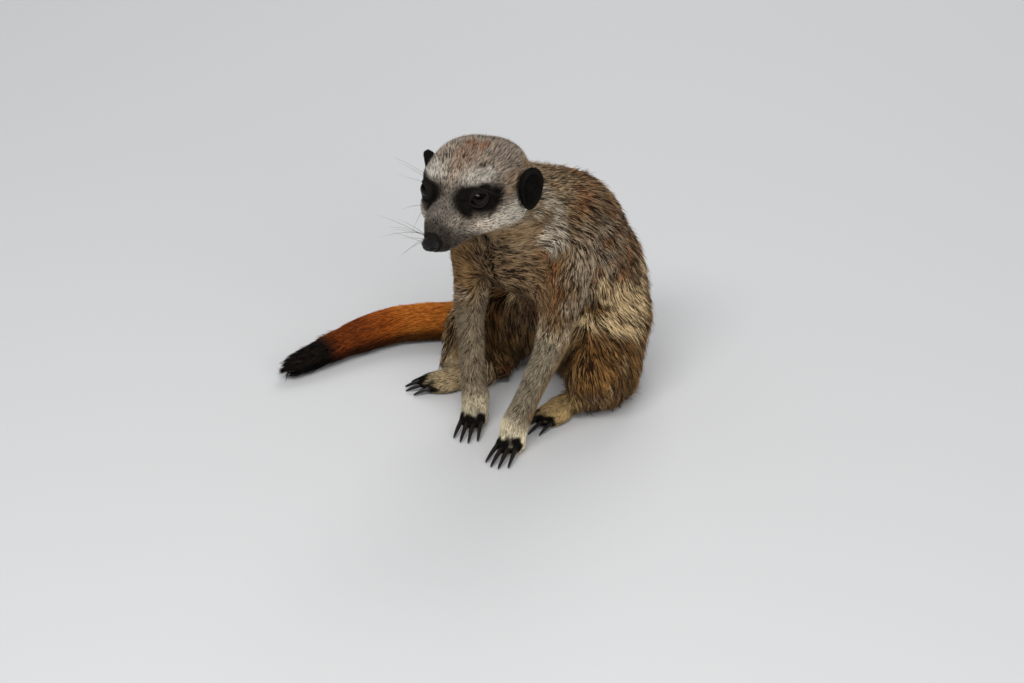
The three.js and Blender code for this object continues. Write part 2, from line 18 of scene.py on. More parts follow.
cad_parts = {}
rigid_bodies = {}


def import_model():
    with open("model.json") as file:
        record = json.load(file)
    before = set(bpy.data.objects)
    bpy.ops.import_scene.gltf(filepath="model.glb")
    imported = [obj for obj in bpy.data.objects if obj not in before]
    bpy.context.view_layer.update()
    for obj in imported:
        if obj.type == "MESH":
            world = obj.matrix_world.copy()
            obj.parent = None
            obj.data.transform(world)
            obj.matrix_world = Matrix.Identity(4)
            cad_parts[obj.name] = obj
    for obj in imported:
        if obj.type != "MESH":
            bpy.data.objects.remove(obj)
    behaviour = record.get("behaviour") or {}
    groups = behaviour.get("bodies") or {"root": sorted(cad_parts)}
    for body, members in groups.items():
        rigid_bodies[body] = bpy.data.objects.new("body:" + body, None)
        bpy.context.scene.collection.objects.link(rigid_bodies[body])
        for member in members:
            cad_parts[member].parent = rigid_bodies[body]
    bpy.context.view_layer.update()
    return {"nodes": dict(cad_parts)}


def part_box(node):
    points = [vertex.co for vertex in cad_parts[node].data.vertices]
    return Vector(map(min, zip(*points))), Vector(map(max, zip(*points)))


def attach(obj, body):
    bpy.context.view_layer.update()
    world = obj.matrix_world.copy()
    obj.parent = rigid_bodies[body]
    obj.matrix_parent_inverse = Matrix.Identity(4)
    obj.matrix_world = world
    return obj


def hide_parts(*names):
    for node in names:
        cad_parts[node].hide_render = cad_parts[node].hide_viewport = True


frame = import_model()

MM = 0.001  # this script's arrays are in millimetres, and Blender's meshes in metres

# %% [markdown]
# ## Camera, floor and light
# A long lens from a little above keeps a small animal's proportions true, as a wildlife
# picture does. The camera is placed by a turn round the animal and a height angle, because
# those two numbers say what the viewer sees better than raw coordinates would.

# %% Camera
EYE_LOW, EYE_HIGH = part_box("eye_left")
LOOK_AT = (EYE_LOW + EYE_HIGH) / 2 + Vector((-37.6, 58.0, -129.2)) * MM
TURN, HEIGHT_ANGLE = np.radians(48), np.radians(31)
DISTANCE = 2500 * MM
LENS = 158.2  # mm of focal length on a 36 mm wide sensor


def out_of(turn, height):
    """The direction from the animal towards a viewer, by turn about Z and angle of height."""
    flat = np.cos(height)
    return Vector((np.sin(turn) * flat, -np.cos(turn) * flat, np.sin(height)))


camera = bpy.data.objects.new("camera", bpy.data.cameras.new("camera"))
camera.data.lens = LENS
camera.data.sensor_width = 36
camera.data.clip_end = 50
towards_viewer = out_of(TURN, HEIGHT_ANGLE)
camera.location = LOOK_AT + DISTANCE * towards_viewer
camera.rotation_euler = towards_viewer.to_track_quat("Z", "Y").to_euler()
bpy.context.scene.collection.objects.link(camera)
bpy.context.scene.camera = camera
print("camera stands", round(camera.location.z, 3), "m above the floor")

# %% [markdown]
# Soft light comes from large lamps: one high in front for the shape, one opposite to open the
# shadows, one behind to edge the coat, and a pale world that fills the rest.

# %% Lamps and world
LAMPS_FACE = Vector((0, 0, 90)) * MM  # the middle of the animal


def lamp(name, turn, height, distance, size, power):
    """An oblong lamp that faces the animal's middle."""
    light = bpy.data.lights.new(name, "AREA")
    light.shape, light.energy = "RECTANGLE", power
    light.size, light.size_y = size
    thing = bpy.data.objects.new(name, light)
    way = out_of(np.radians(turn), np.radians(height))
    thing.location = LAMPS_FACE + distance * way
    thing.rotation_euler = way.to_track_quat("Z", "Y").to_euler()
    bpy.context.scene.collection.objects.link(thing)
    return thing


lamp("key", turn=32, height=52, distance=1.4, size=(1.0, 0.35), power=13)
fill = lamp("fill", turn=75, height=20, distance=1.6, size=(1.2, 1.2), power=7.5)
fill.visible_glossy = False  # so that the eyes mirror only the lamp above
lamp("rim", turn=215, height=45, distance=1.4, size=(0.8, 0.8), power=6)

world = bpy.data.worlds.new("studio")
bpy.context.scene.world = world
world.use_nodes = True
world.node_tree.nodes["Background"].inputs["Color"].default_value = (0.95, 0.97, 1.0, 1)
world.node_tree.nodes["Background"].inputs["Strength"].default_value = 0.4
world.cycles_visibility.glossy = False  # eyes and nose mirror the lamp and the floor alone
bpy.context.scene.view_settings.view_transform = "Standard"

# %% [markdown]
# ## Small helpers for shader nodes
# A material is a network of nodes. `put` makes one node, sets its plain values and plugs in
# what comes from other nodes. `attribute` reads a value stored on the mesh, which is how each
# lock of hair knows its own colour. The others make the nodes that are needed most.

# %% Shader helpers
def put(tree, kind, inputs=None, **settings):
    """Adds a node. An input given as a socket is linked, and any other value is set."""
    made = tree.nodes.new(kind)
    for key, value in settings.items():
        setattr(made, key, value)
    for key, value in (inputs or {}).items():
        if isinstance(value, bpy.types.NodeSocket):
            tree.links.new(value, made.inputs[key])
        else:
            made.inputs[key].default_value = value
    return made


def attribute(tree, name, output="Fac"):
    return put(tree, "ShaderNodeAttribute", attribute_name=name).outputs[output]


def mix(tree, share, low, high):
    """A colour between two, by a share from 0 to 1."""
    return put(tree, "ShaderNodeMix", {0: share, 6: low, 7: high}, data_type="RGBA").outputs[2]


def stretch(tree, value, low, high, to=(0, 1)):
    """A value's place between low and high, as the same place between two others."""
    return put(tree, "ShaderNodeMapRange", {
        "Value": value, "From Min": low, "From Max": high, "To Min": to[0], "To Max": to[1],
    }).outputs[0]


def arithmetic(tree, operation, *values):
    return put(tree, "ShaderNodeMath", dict(enumerate(values)), operation=operation).outputs[0]


def noise(tree, scale, detail, **inputs):
    made = put(tree, "ShaderNodeTexNoise", {"Scale": scale, "Detail": detail, **inputs})
    return made.outputs["Fac"]


def node_group(name, **sockets):
    """A group of nodes that turns its inputs into one colour."""
    group = bpy.data.node_groups.new(name, "ShaderNodeTree")
    for key, kind in sockets.items():
        group.interface.new_socket(key, in_out="INPUT", socket_type=f"NodeSocket{kind}")
    group.interface.new_socket("Color", in_out="OUTPUT", socket_type="NodeSocketColor")
    source = group.nodes.new("NodeGroupInput").outputs
    return group, source, group.nodes.new("NodeGroupOutput").inputs["Color"]


def new_material(name, roughness, gloss=0.5):
    """A material, its nodes and the inputs of its Principled shader."""
    material = bpy.data.materials.new(name)
    material.use_nodes = True
    tree = material.node_tree
    shader = tree.nodes["Principled BSDF"].inputs
    shader["Roughness"].default_value = roughness
    shader["Specular IOR Level"].default_value = gloss
    return material, tree, shader


def bump(tree, shader, height, strength, distance):
    made = put(tree, "ShaderNodeBump", {
        "Height": height, "Strength": strength, "Distance": distance})
    tree.links.new(made.outputs["Normal"], shader["Normal"])


# %% [markdown]
# The floor is a wide pale sheet. It isn't part of the animal. A faint unevenness in its tone
# keeps it from looking like a blank.

# %% Floor
FLOOR_TONES = 0.60, 0.64


def make_floor():
    bpy.ops.mesh.primitive_plane_add(size=12, location=(0, 0, -0.00005))
    floor = bpy.context.object
    floor.name = "floor"
    material, tree, shader = new_material("floor", roughness=0.9)
    tone = stretch(tree, noise(tree, 3.0, 3.0), 0, 1, FLOOR_TONES)
    tree.links.new(tone, shader["Base Color"])
    floor.data.materials.append(material)
    return floor


print("floor", round(make_floor().dimensions.x), "m wide")

# %% [markdown]
# ## Where things are
# The solids give the places: each node's box tells where its part lies. The face has its own
# frame, worked out from the two eyes and the nose: X towards the left eye, Y backwards and Z
# to the crown. Marks on the face are then symmetric however the head is turned.

# %% Places from the solids
SMALL = ("eye", "ear", "nose", "claw")
FLESH = [name for name in sorted(frame["nodes"]) if not name.startswith(SMALL)]


def middle_of(name):
    low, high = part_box(name)
    return np.array((low + high) / 2) / MM


def unit(v):
    return v / np.maximum(np.linalg.norm(v, axis=-1, keepdims=True), 1e-9)


EYE_TO_NOSE_DROP = np.radians(24.5)  # how far the nose lies below straight ahead of the eyes
between_eyes = (middle_of("eye_left") + middle_of("eye_right")) / 2
face_x = unit(middle_of("eye_left") - middle_of("eye_right"))
down_nose = middle_of("nose") - between_eyes
down_nose = unit(down_nose - face_x * (down_nose @ face_x))
nose_up = np.cross(down_nose, face_x)
face_y = -(down_nose * np.cos(EYE_TO_NOSE_DROP) + nose_up * np.sin(EYE_TO_NOSE_DROP))
face_z = np.cross(face_x, face_y)
FACE = np.array([face_x, face_y, face_z])  # its rows are the face's own axes
FACE_EYE = np.array([14.5, -25.5, 6.1])  # the left eye's middle in the face's frame
face_origin = middle_of("eye_left") - FACE_EYE @ FACE


def to_face(points):
    """Points of the row's frame, in the face's own frame."""
    return (points - face_origin) @ FACE.T


def from_face(points):
    return np.asarray(points, float) @ FACE + face_origin


print(len(FLESH), "nodes of flesh; nose in the face's frame:", to_face(middle_of("nose")).round(1))

# %% [markdown]
# ## The skin
# Under its coat the animal is one closed skin with no seams. The flesh nodes are copied, each
# swollen a little so that the thin cuts between them close, and fused by a voxel remesh,
# which rebuilds many overlapping shells as one. Small closed shells can be left inside where
# a cut didn't quite close, so only the largest shell is kept.

# %% Mesh helpers
def read_mesh(mesh):
    """Points in millimetres, and triangles."""
    mesh.calc_loop_triangles()
    points = np.empty(3 * len(mesh.vertices))
    mesh.vertices.foreach_get("co", points)
    triangles = np.empty(3 * len(mesh.loop_triangles), np.int32)
    mesh.loop_triangles.foreach_get("vertices", triangles)
    return points.reshape(-1, 3) / MM, triangles.reshape(-1, 3)


def write_points(mesh, points):
    mesh.vertices.foreach_set("co", (points * MM).astype(np.float32).ravel())
    mesh.update()


def make_piece(name, points, faces):
    """A smooth-shaded mesh object from points in millimetres and faces of equal size."""
    faces = np.asarray(faces, np.int32)
    mesh = bpy.data.meshes.new(name)
    mesh.vertices.add(len(points))
    write_points(mesh, np.asarray(points))
    mesh.loops.add(faces.size)
    mesh.loops.foreach_set("vertex_index", faces.ravel())
    mesh.polygons.add(len(faces))
    starts = np.arange(0, faces.size, faces.shape[1], dtype=np.int32)
    mesh.polygons.foreach_set("loop_start", starts)
    mesh.update(calc_edges=True)
    mesh.shade_smooth()
    piece = bpy.data.objects.new(name, mesh)
    bpy.context.scene.collection.objects.link(piece)
    return piece


def with_modifiers(piece):
    """The mesh that an object's modifiers make, with the object itself cleared away."""
    shown = piece.evaluated_get(bpy.context.evaluated_depsgraph_get())
    mesh = bpy.data.meshes.new_from_object(shown)
    bpy.data.objects.remove(piece)
    return mesh


# %% Fuse the flesh
VOXEL = 1.15  # mm
SWELL = 0.6  # mm, closes the cuts between the solids


def welded(name, grow=0.0):
    """A node's points, moved out along their normals, and its triangles."""
    work = bmesh.new()
    work.from_mesh(frame["nodes"][name].data)
    bmesh.ops.remove_doubles(work, verts=work.verts, dist=0.01 * MM)
    bmesh.ops.triangulate(work, faces=work.faces)
    work.normal_update()
    points = np.array([v.co + v.normal * grow * MM for v in work.verts]) / MM
    faces = np.array([[v.index for v in f.verts] for f in work.faces])
    work.free()
    return points, faces


def joined(names, grow=0.0):
    """Several nodes as one list of points and triangles."""
    points, faces, start = [], [], 0
    for name in names:
        p, f = welded(name, grow)
        points.append(p)
        faces.append(f + start)
        start += len(p)
    return np.concatenate(points), np.concatenate(faces)


def fuse(names, voxel):
    """The nodes as one mesh with cells about one voxel wide."""
    lump = make_piece("lump", *joined(names, SWELL))
    remesh = lump.modifiers.new("fuse", "REMESH")
    remesh.mode, remesh.voxel_size = "VOXEL", voxel * MM
    return with_modifiers(lump)


def keep_largest_shell(mesh):
    """Deletes all but the largest connected part."""
    work = bmesh.new()
    work.from_mesh(mesh)
    shell_of, shells = {}, []
    for start in work.verts:
        if start in shell_of:
            continue
        shell, edge = [], [start]
        shell_of[start] = len(shells)
        while edge:
            here = edge.pop()
            shell.append(here)
            for link in here.link_edges:
                there = link.other_vert(here)
                if there not in shell_of:
                    shell_of[there] = len(shells)
                    edge.append(there)
        shells.append(shell)
    shells.sort(key=len)
    bmesh.ops.delete(work, geom=[v for shell in shells[:-1] for v in shell], context="VERTS")
    work.to_mesh(mesh)
    work.free()
    return len(shells) - 1


skin_mesh = fuse(FLESH + ["eye_left", "eye_right", "nose"], VOXEL)  # so it reaches over them
print("inner shells dropped:", keep_largest_shell(skin_mesh))
skin, triangles = read_mesh(skin_mesh)
print("skin:", len(skin), "points,", len(triangles), "triangles")

# %% [markdown]
# Every point of the skin is named after the solid that lies nearest. That one label gives its
# smoothing now, and later its coat's length, lie and colour. Blurring the values over the skin
# makes each pass smoothly into the next.

# %% Label the skin
flesh_points, flesh_faces = joined(FLESH)
flesh_tree = BVHTree.FromPolygons(flesh_points.tolist(), flesh_faces.tolist())
flesh_owner = np.repeat(np.arange(len(FLESH)), [len(welded(name)[1]) for name in FLESH])


def label_points(points):
    """For each point, the number of the nearest node of flesh."""
    return flesh_owner[[flesh_tree.find_nearest(p)[2] for p in points.tolist()]]


class Web:
    """The edges of a mesh, for blurring values over it."""

    def __init__(self, mesh):
        pairs = np.empty(2 * len(mesh.edges), np.int32)
        mesh.edges.foreach_get("vertices", pairs)
        a, b = pairs.reshape(-1, 2).T
        self.start, self.end = np.concatenate([a, b]), np.concatenate([b, a])
        self.size = len(mesh.vertices)
        self.count = np.maximum(np.bincount(self.start, minlength=self.size), 1)

    def around(self, values):
        """Each point's mean over its neighbours."""
        columns = values.reshape(self.size, -1).T
        means = [np.bincount(self.start, c[self.end], self.size) / self.count for c in columns]
        return np.stack(means, 1).reshape(values.shape)

    def blur(self, values, times):
        for _ in range(times):
            values = 0.5 * values + 0.5 * self.around(values)
        return values


def per_node(table, default):
    """A value for each skin point from a table by the beginnings of node names."""
    by_node = [next((v for k, v in table.items() if n.startswith(k)), default) for n in FLESH]
    return np.array(by_node, float)[label]


def on_nodes(*starts):
    """Which skin points belong to nodes whose names begin so."""
    return np.isin(label, [i for i, name in enumerate(FLESH) if name.startswith(starts)])


label, web = label_points(skin), Web(skin_mesh)
print({name: int((label == i).sum()) for i, name in enumerate(FLESH)})

# %% [markdown]
# The solids are faceted, so the skin is smoothed. Plain smoothing shrinks thin parts such as
# legs, so each step inwards is followed by a step outwards, which takes the facets away and
# keeps the girth.
#
# The solids also reach out to the tips of the hair, so the skin then sinks by the depth of
# the coat: next to nothing on the muzzle and feet, a few millimetres on legs and tail, most on
# the haunches. It sinks in small steps with a light smoothing between them, because one big
# step would fold the skin over itself in the creases.

# %% Smooth and sink the skin
SMOOTHING = {"head": 0.75, "paw": 0.16, "foot": 0.16, "forearm": 0.5, "tail": 0.8}
COAT_DEPTH = {
    "head": 2.3, "neck": 4.2, "trunk_front": 5.0, "trunk_middle": 5.5, "trunk_rear": 6.0,
    "thigh": 6.0, "upper_arm": 3.2, "forearm": 2.2, "paw": 0.9, "foot": 1.1, "tail_5": 3.0,
    "tail": 1.7,
}
SMOOTH_STEPS, SINK_STEPS = 80, 8
STEP_IN, STEP_OUT = 0.5, 0.51  # the outward step is a little longer, which keeps the girth


def ramp(values, start, end):
    """0 before start, 1 after end, and an even S between them."""
    t = np.clip((values - start) / (end - start), 0, 1)
    return t * t * (3 - 2 * t)


def bump_at(values, spread):
    """1 at zero, falling away on both sides."""
    return np.exp(-((values / spread) ** 2))


def normals_of(points, triangles):
    """Each point's outward normal."""
    a, b, c = (points[triangles[:, i]] for i in range(3))
    facing = np.cross(b - a, c - a)
    columns = [
        sum(np.bincount(triangles[:, i], facing[:, axis], len(points)) for i in range(3))
        for axis in range(3)
    ]
    return unit(np.stack(columns, 1))


softness = web.blur(per_node(SMOOTHING, 1.0), 12)[:, None]
for _ in range(SMOOTH_STEPS):
    inwards = skin + STEP_IN * softness * (web.around(skin) - skin)
    skin = inwards - STEP_OUT * softness * (web.around(inwards) - inwards)


def coat_depth():
    """The coat's depth over each skin point, thinnest on the muzzle."""
    muzzle = on_nodes("head") * ramp(to_face(skin)[:, 1], 0, -38)
    return web.blur(per_node(COAT_DEPTH, 4.0) - 1.65 * muzzle, 35)


depth = coat_depth()
for _ in range(SINK_STEPS):
    inwards = -unit(web.blur(normals_of(skin, triangles), 8))
    skin = skin + inwards * ((depth + SWELL) / SINK_STEPS)[:, None]
    skin += STEP_IN * softness * (web.around(skin) - skin)
write_points(skin_mesh, skin)
print("coat depth from", depth.min().round(1), "to", depth.max().round(1), "mm")

# %% [markdown]
# The face is the part that is looked at most, so its skin gets finer cells: twice as fine over
# the front of the head, and twice again round the eyes and on the muzzle.

# %% Finer skin on the face
FINE_FRONT, FINEST_FRONT, FINEST_ROUND_EYE = -6, -36, 9.5  # mm: in front of y, and round an eye


def refine(chosen):
    """Splits in four the skin's faces whose points are all chosen."""
    work = bmesh.new()
    work.from_mesh(skin_mesh)
    work.verts.ensure_lookup_table()
    edges = [e for e in work.edges if chosen[e.verts[0].index] and chosen[e.verts[1].index]]
    bmesh.ops.subdivide_edges(work, edges=edges, cuts=1, use_grid_fill=True)
    bmesh.ops.triangulate(work, faces=[f for f in work.faces if len(f.verts) > 4])
    work.to_mesh(skin_mesh)
    work.free()
    points, _ = read_mesh(skin_mesh)
    return points, to_face(points)


def ahead(at, y):
    """The skin of the head that lies in front of y."""
    return (at[:, 1] < y) & (at[:, 2] > -24) & (np.abs(at[:, 0]) < 32)


def to_left(at):
    """Both sides of the face laid over each other on the left."""
    return np.stack([np.abs(at[:, 0]), at[:, 1], at[:, 2]], 1)


skin, at = refine(ahead(to_face(skin), FINE_FRONT))
round_eye = np.linalg.norm(to_left(at) - FACE_EYE, axis=1) < FINEST_ROUND_EYE
skin, at = refine(ahead(at, FINEST_FRONT) | round_eye)
skin, triangles = read_mesh(skin_mesh)
label, web = label_points(skin), Web(skin_mesh)
skin = np.where(on_nodes("head")[:, None], web.blur(skin, 3), skin)
print("skin:", len(skin), "points,", len(triangles), "triangles")

# %% [markdown]
# ## Lids and mouth
# The lids are folds of the same skin. Round each eye every skin point keeps its direction from
# the middle of the eyeball and gets a new distance: just inside the ball within the opening,
# so the ball shows, a rounded rim at the opening's edge, a shallow fold behind it, and then
# gently back to where it was. The opening is an almond, drawn as two arcs between its
# corners.

# %% Lids
EYE_RADIUS = float(min(EYE_HIGH - EYE_LOW)) / MM / 2
GAZE = unit(np.array([0.66, -0.72, 0.22]))  # the left eye's, in the face's frame
OUT_OF_GAZE = unit(np.cross([0, 0, 1], GAZE))  # towards the eye's outer corner
ABOVE_GAZE = np.cross(GAZE, OUT_OF_GAZE)
INNER_CORNER, OUTER_CORNER = np.array([-5.9, -2.3]), np.array([5.0, 1.2])  # mm on the ball
LID_RISE, LID_DROP, LID_BOW = 3.7, 3.6, 0.8  # mm up and down, and how full the arcs are
RIM_HEIGHT, RIM_WIDTH = 0.95, 0.8  # mm
LID_FOLD, FOLD_DEPTH = 2.3, 0.25  # mm behind the rim, and how deep
TUCK, TUCK_BEHIND = 0.35, 1.2  # mm: how far skin in the opening lies inside the ball
LID_START, LID_REACH = 1.2, 5.0  # mm outside the opening, where the lid passes into the face
SHAPED_WITHIN = 6  # mm from the ball
FAR_AWAY = 99.0  # mm, where a distance isn't worked out


def nearest_distance(points, cloud):
    """How far each point lies from the nearest point of a cloud."""
    tree = KDTree(len(cloud))
    for i, p in enumerate(cloud.tolist()):
        tree.insert(p, i)
    tree.balance()
    return np.array([tree.find(p)[2] for p in points.tolist()])


def lid_distance(on_ball):
    """Distance outside the eye's opening, negative inside it, for places on the ball."""
    chord = OUTER_CORNER - INNER_CORNER
    span = np.linalg.norm(chord)
    along = chord / span
    up = np.array([-along[1], along[0]])
    t = np.linspace(0, 1, 120)
    bow = np.sin(np.pi * t) ** LID_BOW
    base = INNER_CORNER + t[:, None] * chord
    upper, lower = base + up * (LID_RISE * bow)[:, None], base - up * (LID_DROP * bow)[:, None]
    outline = np.concatenate([upper, lower])
    flat = ((0, 0), (0, 1))  # a third coordinate of nought, which the search needs
    away = nearest_distance(np.pad(on_ball, flat), np.pad(outline, flat))
    u, v = (on_ball - INNER_CORNER) @ along / span, (on_ball - INNER_CORNER) @ up
    arch = np.sin(np.pi * np.clip(u, 0, 1)) ** LID_BOW
    inside = (v < LID_RISE * arch) & (v > -LID_DROP * arch)
    return np.where(inside, -away, away)


def open_lids(face_points, side):
    """Shapes the lids on one side and gives each point's distance from the opening."""
    mirror = np.array([side, 1, 1])
    offset = face_points * mirror - FACE_EYE
    far = np.linalg.norm(offset, axis=1)
    way = unit(offset)
    near = np.flatnonzero((far < EYE_RADIUS + SHAPED_WITHIN) & (way @ GAZE > 0.05))
    angle = np.arccos(np.clip(way[near] @ GAZE, -1, 1))
    flat = unit(np.stack([way[near] @ OUT_OF_GAZE, way[near] @ ABOVE_GAZE], 1))
    outside = lid_distance(flat * (angle * EYE_RADIUS)[:, None])
    s = np.clip(outside / RIM_WIDTH, 0, 1)
    rim = RIM_HEIGHT * np.sqrt(1 - (1 - s) ** 2) - FOLD_DEPTH * bump_at(outside - LID_FOLD, 0.5)
    hidden = -TUCK - TUCK_BEHIND * ramp(-outside, 0, 1.0)
    lid = EYE_RADIUS + np.where(outside > 0, rim, hidden)
    share = ramp(outside, LID_START, LID_REACH)
    new = lid * (1 - share) + np.maximum(far[near], EYE_RADIUS + 0.4) * share
    shaped = face_points.copy()
    shaped[near] = (FACE_EYE + way[near] * new[:, None]) * mirror
    gap = np.full(len(face_points), FAR_AWAY)
    gap[near] = outside
    return shaped, gap


at = to_face(skin)
at, gap_left = open_lids(at, 1)
at, gap_right = open_lids(at, -1)
lid_gap = np.minimum(gap_left, gap_right)
print("eye radius", round(EYE_RADIUS, 2), "mm; skin points behind:", int((lid_gap < 0).sum()))

# %% [markdown]
# The mouth is a groove: from under the nose it runs back along each side of the muzzle and
# turns up a little at its corner. Points near the line sink, and those beside it swell into
# lips.

# %% Mouth
MOUTH_LINE = np.array([[0, -57, -12.6], [3.2, -55.8, -11.6], [5, -52, -11.6], [6.4, -47, -13.4],
                       [7.6, -41.7, -15.3], [9.4, -36.5, -15.8], [11.6, -32, -14.6]])
MOUTH_DEPTH, MOUTH_WIDTH, MOUTH_SPOTS = 0.9, 0.5, 120  # mm, mm, points along the line
LIP_HEIGHT, LIP_PLACE, LIP_WIDTH = 0.3, 1.3, 0.7  # mm, the place being its distance from the line


def line_through(points, steps):
    """Points evenly spaced between the given ones."""
    t = np.linspace(0, len(points) - 1, steps)
    known = np.arange(len(points))
    return np.stack([np.interp(t, known, points[:, axis]) for axis in range(3)], 1)


def settle_on(tree, points):
    return np.array([tree.find_nearest(p)[0] for p in points.tolist()])


face_tree = BVHTree.FromPolygons(at.tolist(), triangles.tolist())
mouth = settle_on(face_tree, line_through(MOUTH_LINE, MOUTH_SPOTS))
mouth = np.concatenate([mouth, mouth * [-1, 1, 1]])
near_mouth = np.flatnonzero(at[:, 1] < -28)
from_mouth = np.full(len(at), FAR_AWAY)
from_mouth[near_mouth] = nearest_distance(at[near_mouth], mouth)
lips = LIP_HEIGHT * bump_at(from_mouth - LIP_PLACE, LIP_WIDTH)
lips -= MOUTH_DEPTH * bump_at(from_mouth, MOUTH_WIDTH)
at = at + normals_of(at, triangles) * lips[:, None]
skin = from_face(at)
write_points(skin_mesh, skin)
normals = normals_of(skin, triangles)
depth = coat_depth()
print("mouth line of", len(mouth), "points")

# %% [markdown]
# ## The lie of the coat
# Hair lies away from the nose over the head, down the neck and back towards the tail, down
# the legs to the claws, and along the tail. On the chest it spreads outwards from a parting
# between the forelegs. These directions are set part by part, blurred over the skin so that
# they turn gently into each other, and kept in the plane of the skin.

# %% Lie of the coat
def in_plane(directions, normals):
    """Directions laid into the skin's plane."""
    return unit(directions - normals * (directions * normals).sum(axis=1, keepdims=True))


def from_to(start, end):
    return unit(middle_of(end) - middle_of(start))


LIE = {
    "neck": from_to("head", "trunk_front"),
    "trunk_front": from_to("neck", "trunk_middle"),
    "trunk_middle": from_to("trunk_middle", "trunk_rear"),
    "trunk_rear": unit(np.array([0, 0.35, -1])),
    "thigh": unit(np.array([0, 0.3, -1])),
    "tail_5": from_to("tail_4", "tail_5"),
}
for k in range(1, 5):
    LIE[f"tail_{k}"] = from_to(f"tail_{k}", f"tail_{k + 1}")
for side in ("left", "right"):
    LIE[f"upper_arm_{side}"] = from_to(f"upper_arm_{side}", f"forearm_{side}")
    LIE[f"forearm_{side}"] = from_to(f"forearm_{side}", f"paw_front_{side}")
    LIE[f"paw_front_{side}"] = from_to(f"paw_front_{side}", f"claw_front_{side}_2")
    LIE[f"foot_hind_{side}"] = from_to(f"foot_hind_{side}", f"claw_hind_{side}_2")
PARTING_TOP, PARTING_END = np.array([17.0, -24.0, 128.0]), np.array([21.0, -15.0, 76.0])
PARTING_REACH = 52  # mm
DOWN = [0, 0, -1]

by_node = [next((v for k, v in LIE.items() if name.startswith(k)), DOWN) for name in FLESH]
lie = np.array(by_node)[label]
on_head = on_nodes("head")
lie[on_head] = unit(skin[on_head] - middle_of("nose"))
parting = PARTING_END - PARTING_TOP
t = np.clip((skin - PARTING_TOP) @ parting / (parting @ parting), -1, 1)
from_parting = skin - (PARTING_TOP + t[:, None] * parting)
far = np.linalg.norm(from_parting, axis=1)
at_chest = (1 - ramp(far, 0.55 * PARTING_REACH, PARTING_REACH)) * ramp(-normals[:, 1], -0.3, 0.4)
at_chest *= ~on_head
outspread = unit(unit(from_parting) + 0.7 * unit(skin - PARTING_END))
lie = lie * (1 - at_chest[:, None]) + outspread * at_chest[:, None]
lie = in_plane(web.blur(in_plane(lie, normals), 40), normals)
print("lie of the coat set for", len(lie), "points")

# %% [markdown]
# ## Markings
# Each place has two colours, a pale one for the hair's light band and a dark one for its
# shadowed base and dark tips, and a share of dark hairs. Parts have their own pair, and marks
# such as the eye patches, the brows and the bars over the back are masks drawn over them from
# distances on the body. Colours are given as a paint chart would, in steps of 0 to 255.

# %% Colour chart
def paint(*steps):
    """A colour from steps of 0 to 255, as light."""
    c = np.array(steps) / 255
    return np.where(c <= 0.04045, c / 12.92, ((c + 0.055) / 1.055) ** 2.4)


def pair(pale, dark, share):
    """A row of the chart: a pale colour, a dark one and the share of dark hairs."""
    return np.concatenate([paint(*pale), paint(*dark), [share]])


CHART = {
    "head": pair((174, 158, 141), (34, 27, 20), 0.5),
    "neck": pair((150, 130, 102), (56, 44, 31), 0.45),
    "trunk_front": pair((140, 116, 87), (38, 27, 17), 0.51),
    "trunk_middle": pair((140, 116, 88), (32, 23, 14), 0.55),
    "trunk_rear": pair((142, 113, 76), (38, 25, 13), 0.52),
    "thigh": pair((132, 97, 55), (44, 28, 13), 0.48),
    "upper_arm": pair((122, 97, 67), (56, 39, 23), 0.46),
    "forearm": pair((176, 162, 137), (56, 46, 34), 0.46),
    "paw": pair((222, 211, 182), (122, 110, 88), 0.36),
    "foot": pair((184, 158, 112), (88, 70, 44), 0.42),
    "tail_1": pair((148, 109, 60), (112, 78, 38), 0.4),
    "tail_2": pair((160, 108, 48), (124, 77, 30), 0.4),
    "tail_3": pair((176, 106, 40), (136, 74, 24), 0.4),
    "tail_4": pair((160, 86, 28), (112, 56, 18), 0.42),
    "tail_5": pair((28, 22, 17), (9, 7, 6), 0.5),
}
TAIL_END = pair((112, 53, 17), (74, 34, 12), 0.45)
BLACK = pair((20, 16, 12), (9, 7, 6), 0.5)
BROW = pair((190, 183, 171), (78, 70, 60), 0.36)
BRIDGE = pair((120, 112, 102), (40, 34, 29), 0.5)
MUZZLE = pair((68, 61, 55), (21, 18, 16), 0.5)
JAW = pair((112, 103, 93), (26, 22, 19), 0.56)
CHEEK = pair((232, 223, 207), (94, 84, 70), 0.36)
# painted light: the throat's colours are lighter to lift the shadow that the head casts on it
THROAT_WITH_PAINTED_LIGHT = pair((146, 124, 95), (82, 66, 49), 0.42)
GINGER = pair((154, 120, 77), (84, 60, 34), 0.38)
RUST = pair((154, 98, 54), (74, 43, 22), 0.48)
SILVER = pair((194, 184, 166), (70, 58, 44), 0.46)
CREAM = pair((212, 188, 146), (62, 44, 26), 0.45)
GRIZZLE = pair((168, 151, 128), (38, 29, 20), 0.55)
# painted shade for the belly, the chest's parting and the thighs' inner and lowest parts; the same
# dark brown also mottles the haunches
PAINTED_SHADE_AND_MOTTLE = pair((48, 34, 20), (24, 15, 8), 0.6)
DARK_BAR = pair((74, 50, 31), (28, 18, 10), 0.74)
HAUNCH = pair((120, 86, 48), (32, 20, 9), 0.56)
COAT_LIFT = 1.75  # hair shades itself, so its own colour is lighter than the coat looks

chart = np.array([next(v for k, v in CHART.items() if name.startswith(k)) for name in FLESH])
marks = web.blur(chart[label], 45)
print(len(CHART), "parts on the chart, blurred over", len(marks), "points")

# %% [markdown]
# A mark is a mask from 0 to 1 over the skin: an oval, or a band along a bent line. A smooth
# random pattern frays its edge, so that no mark looks printed. Each is laid over the last.

# %% Masks
def fade(values, start, end):
    """1 before start and 0 after end: a ramp the other way round."""
    return 1 - ramp(values, start, end)


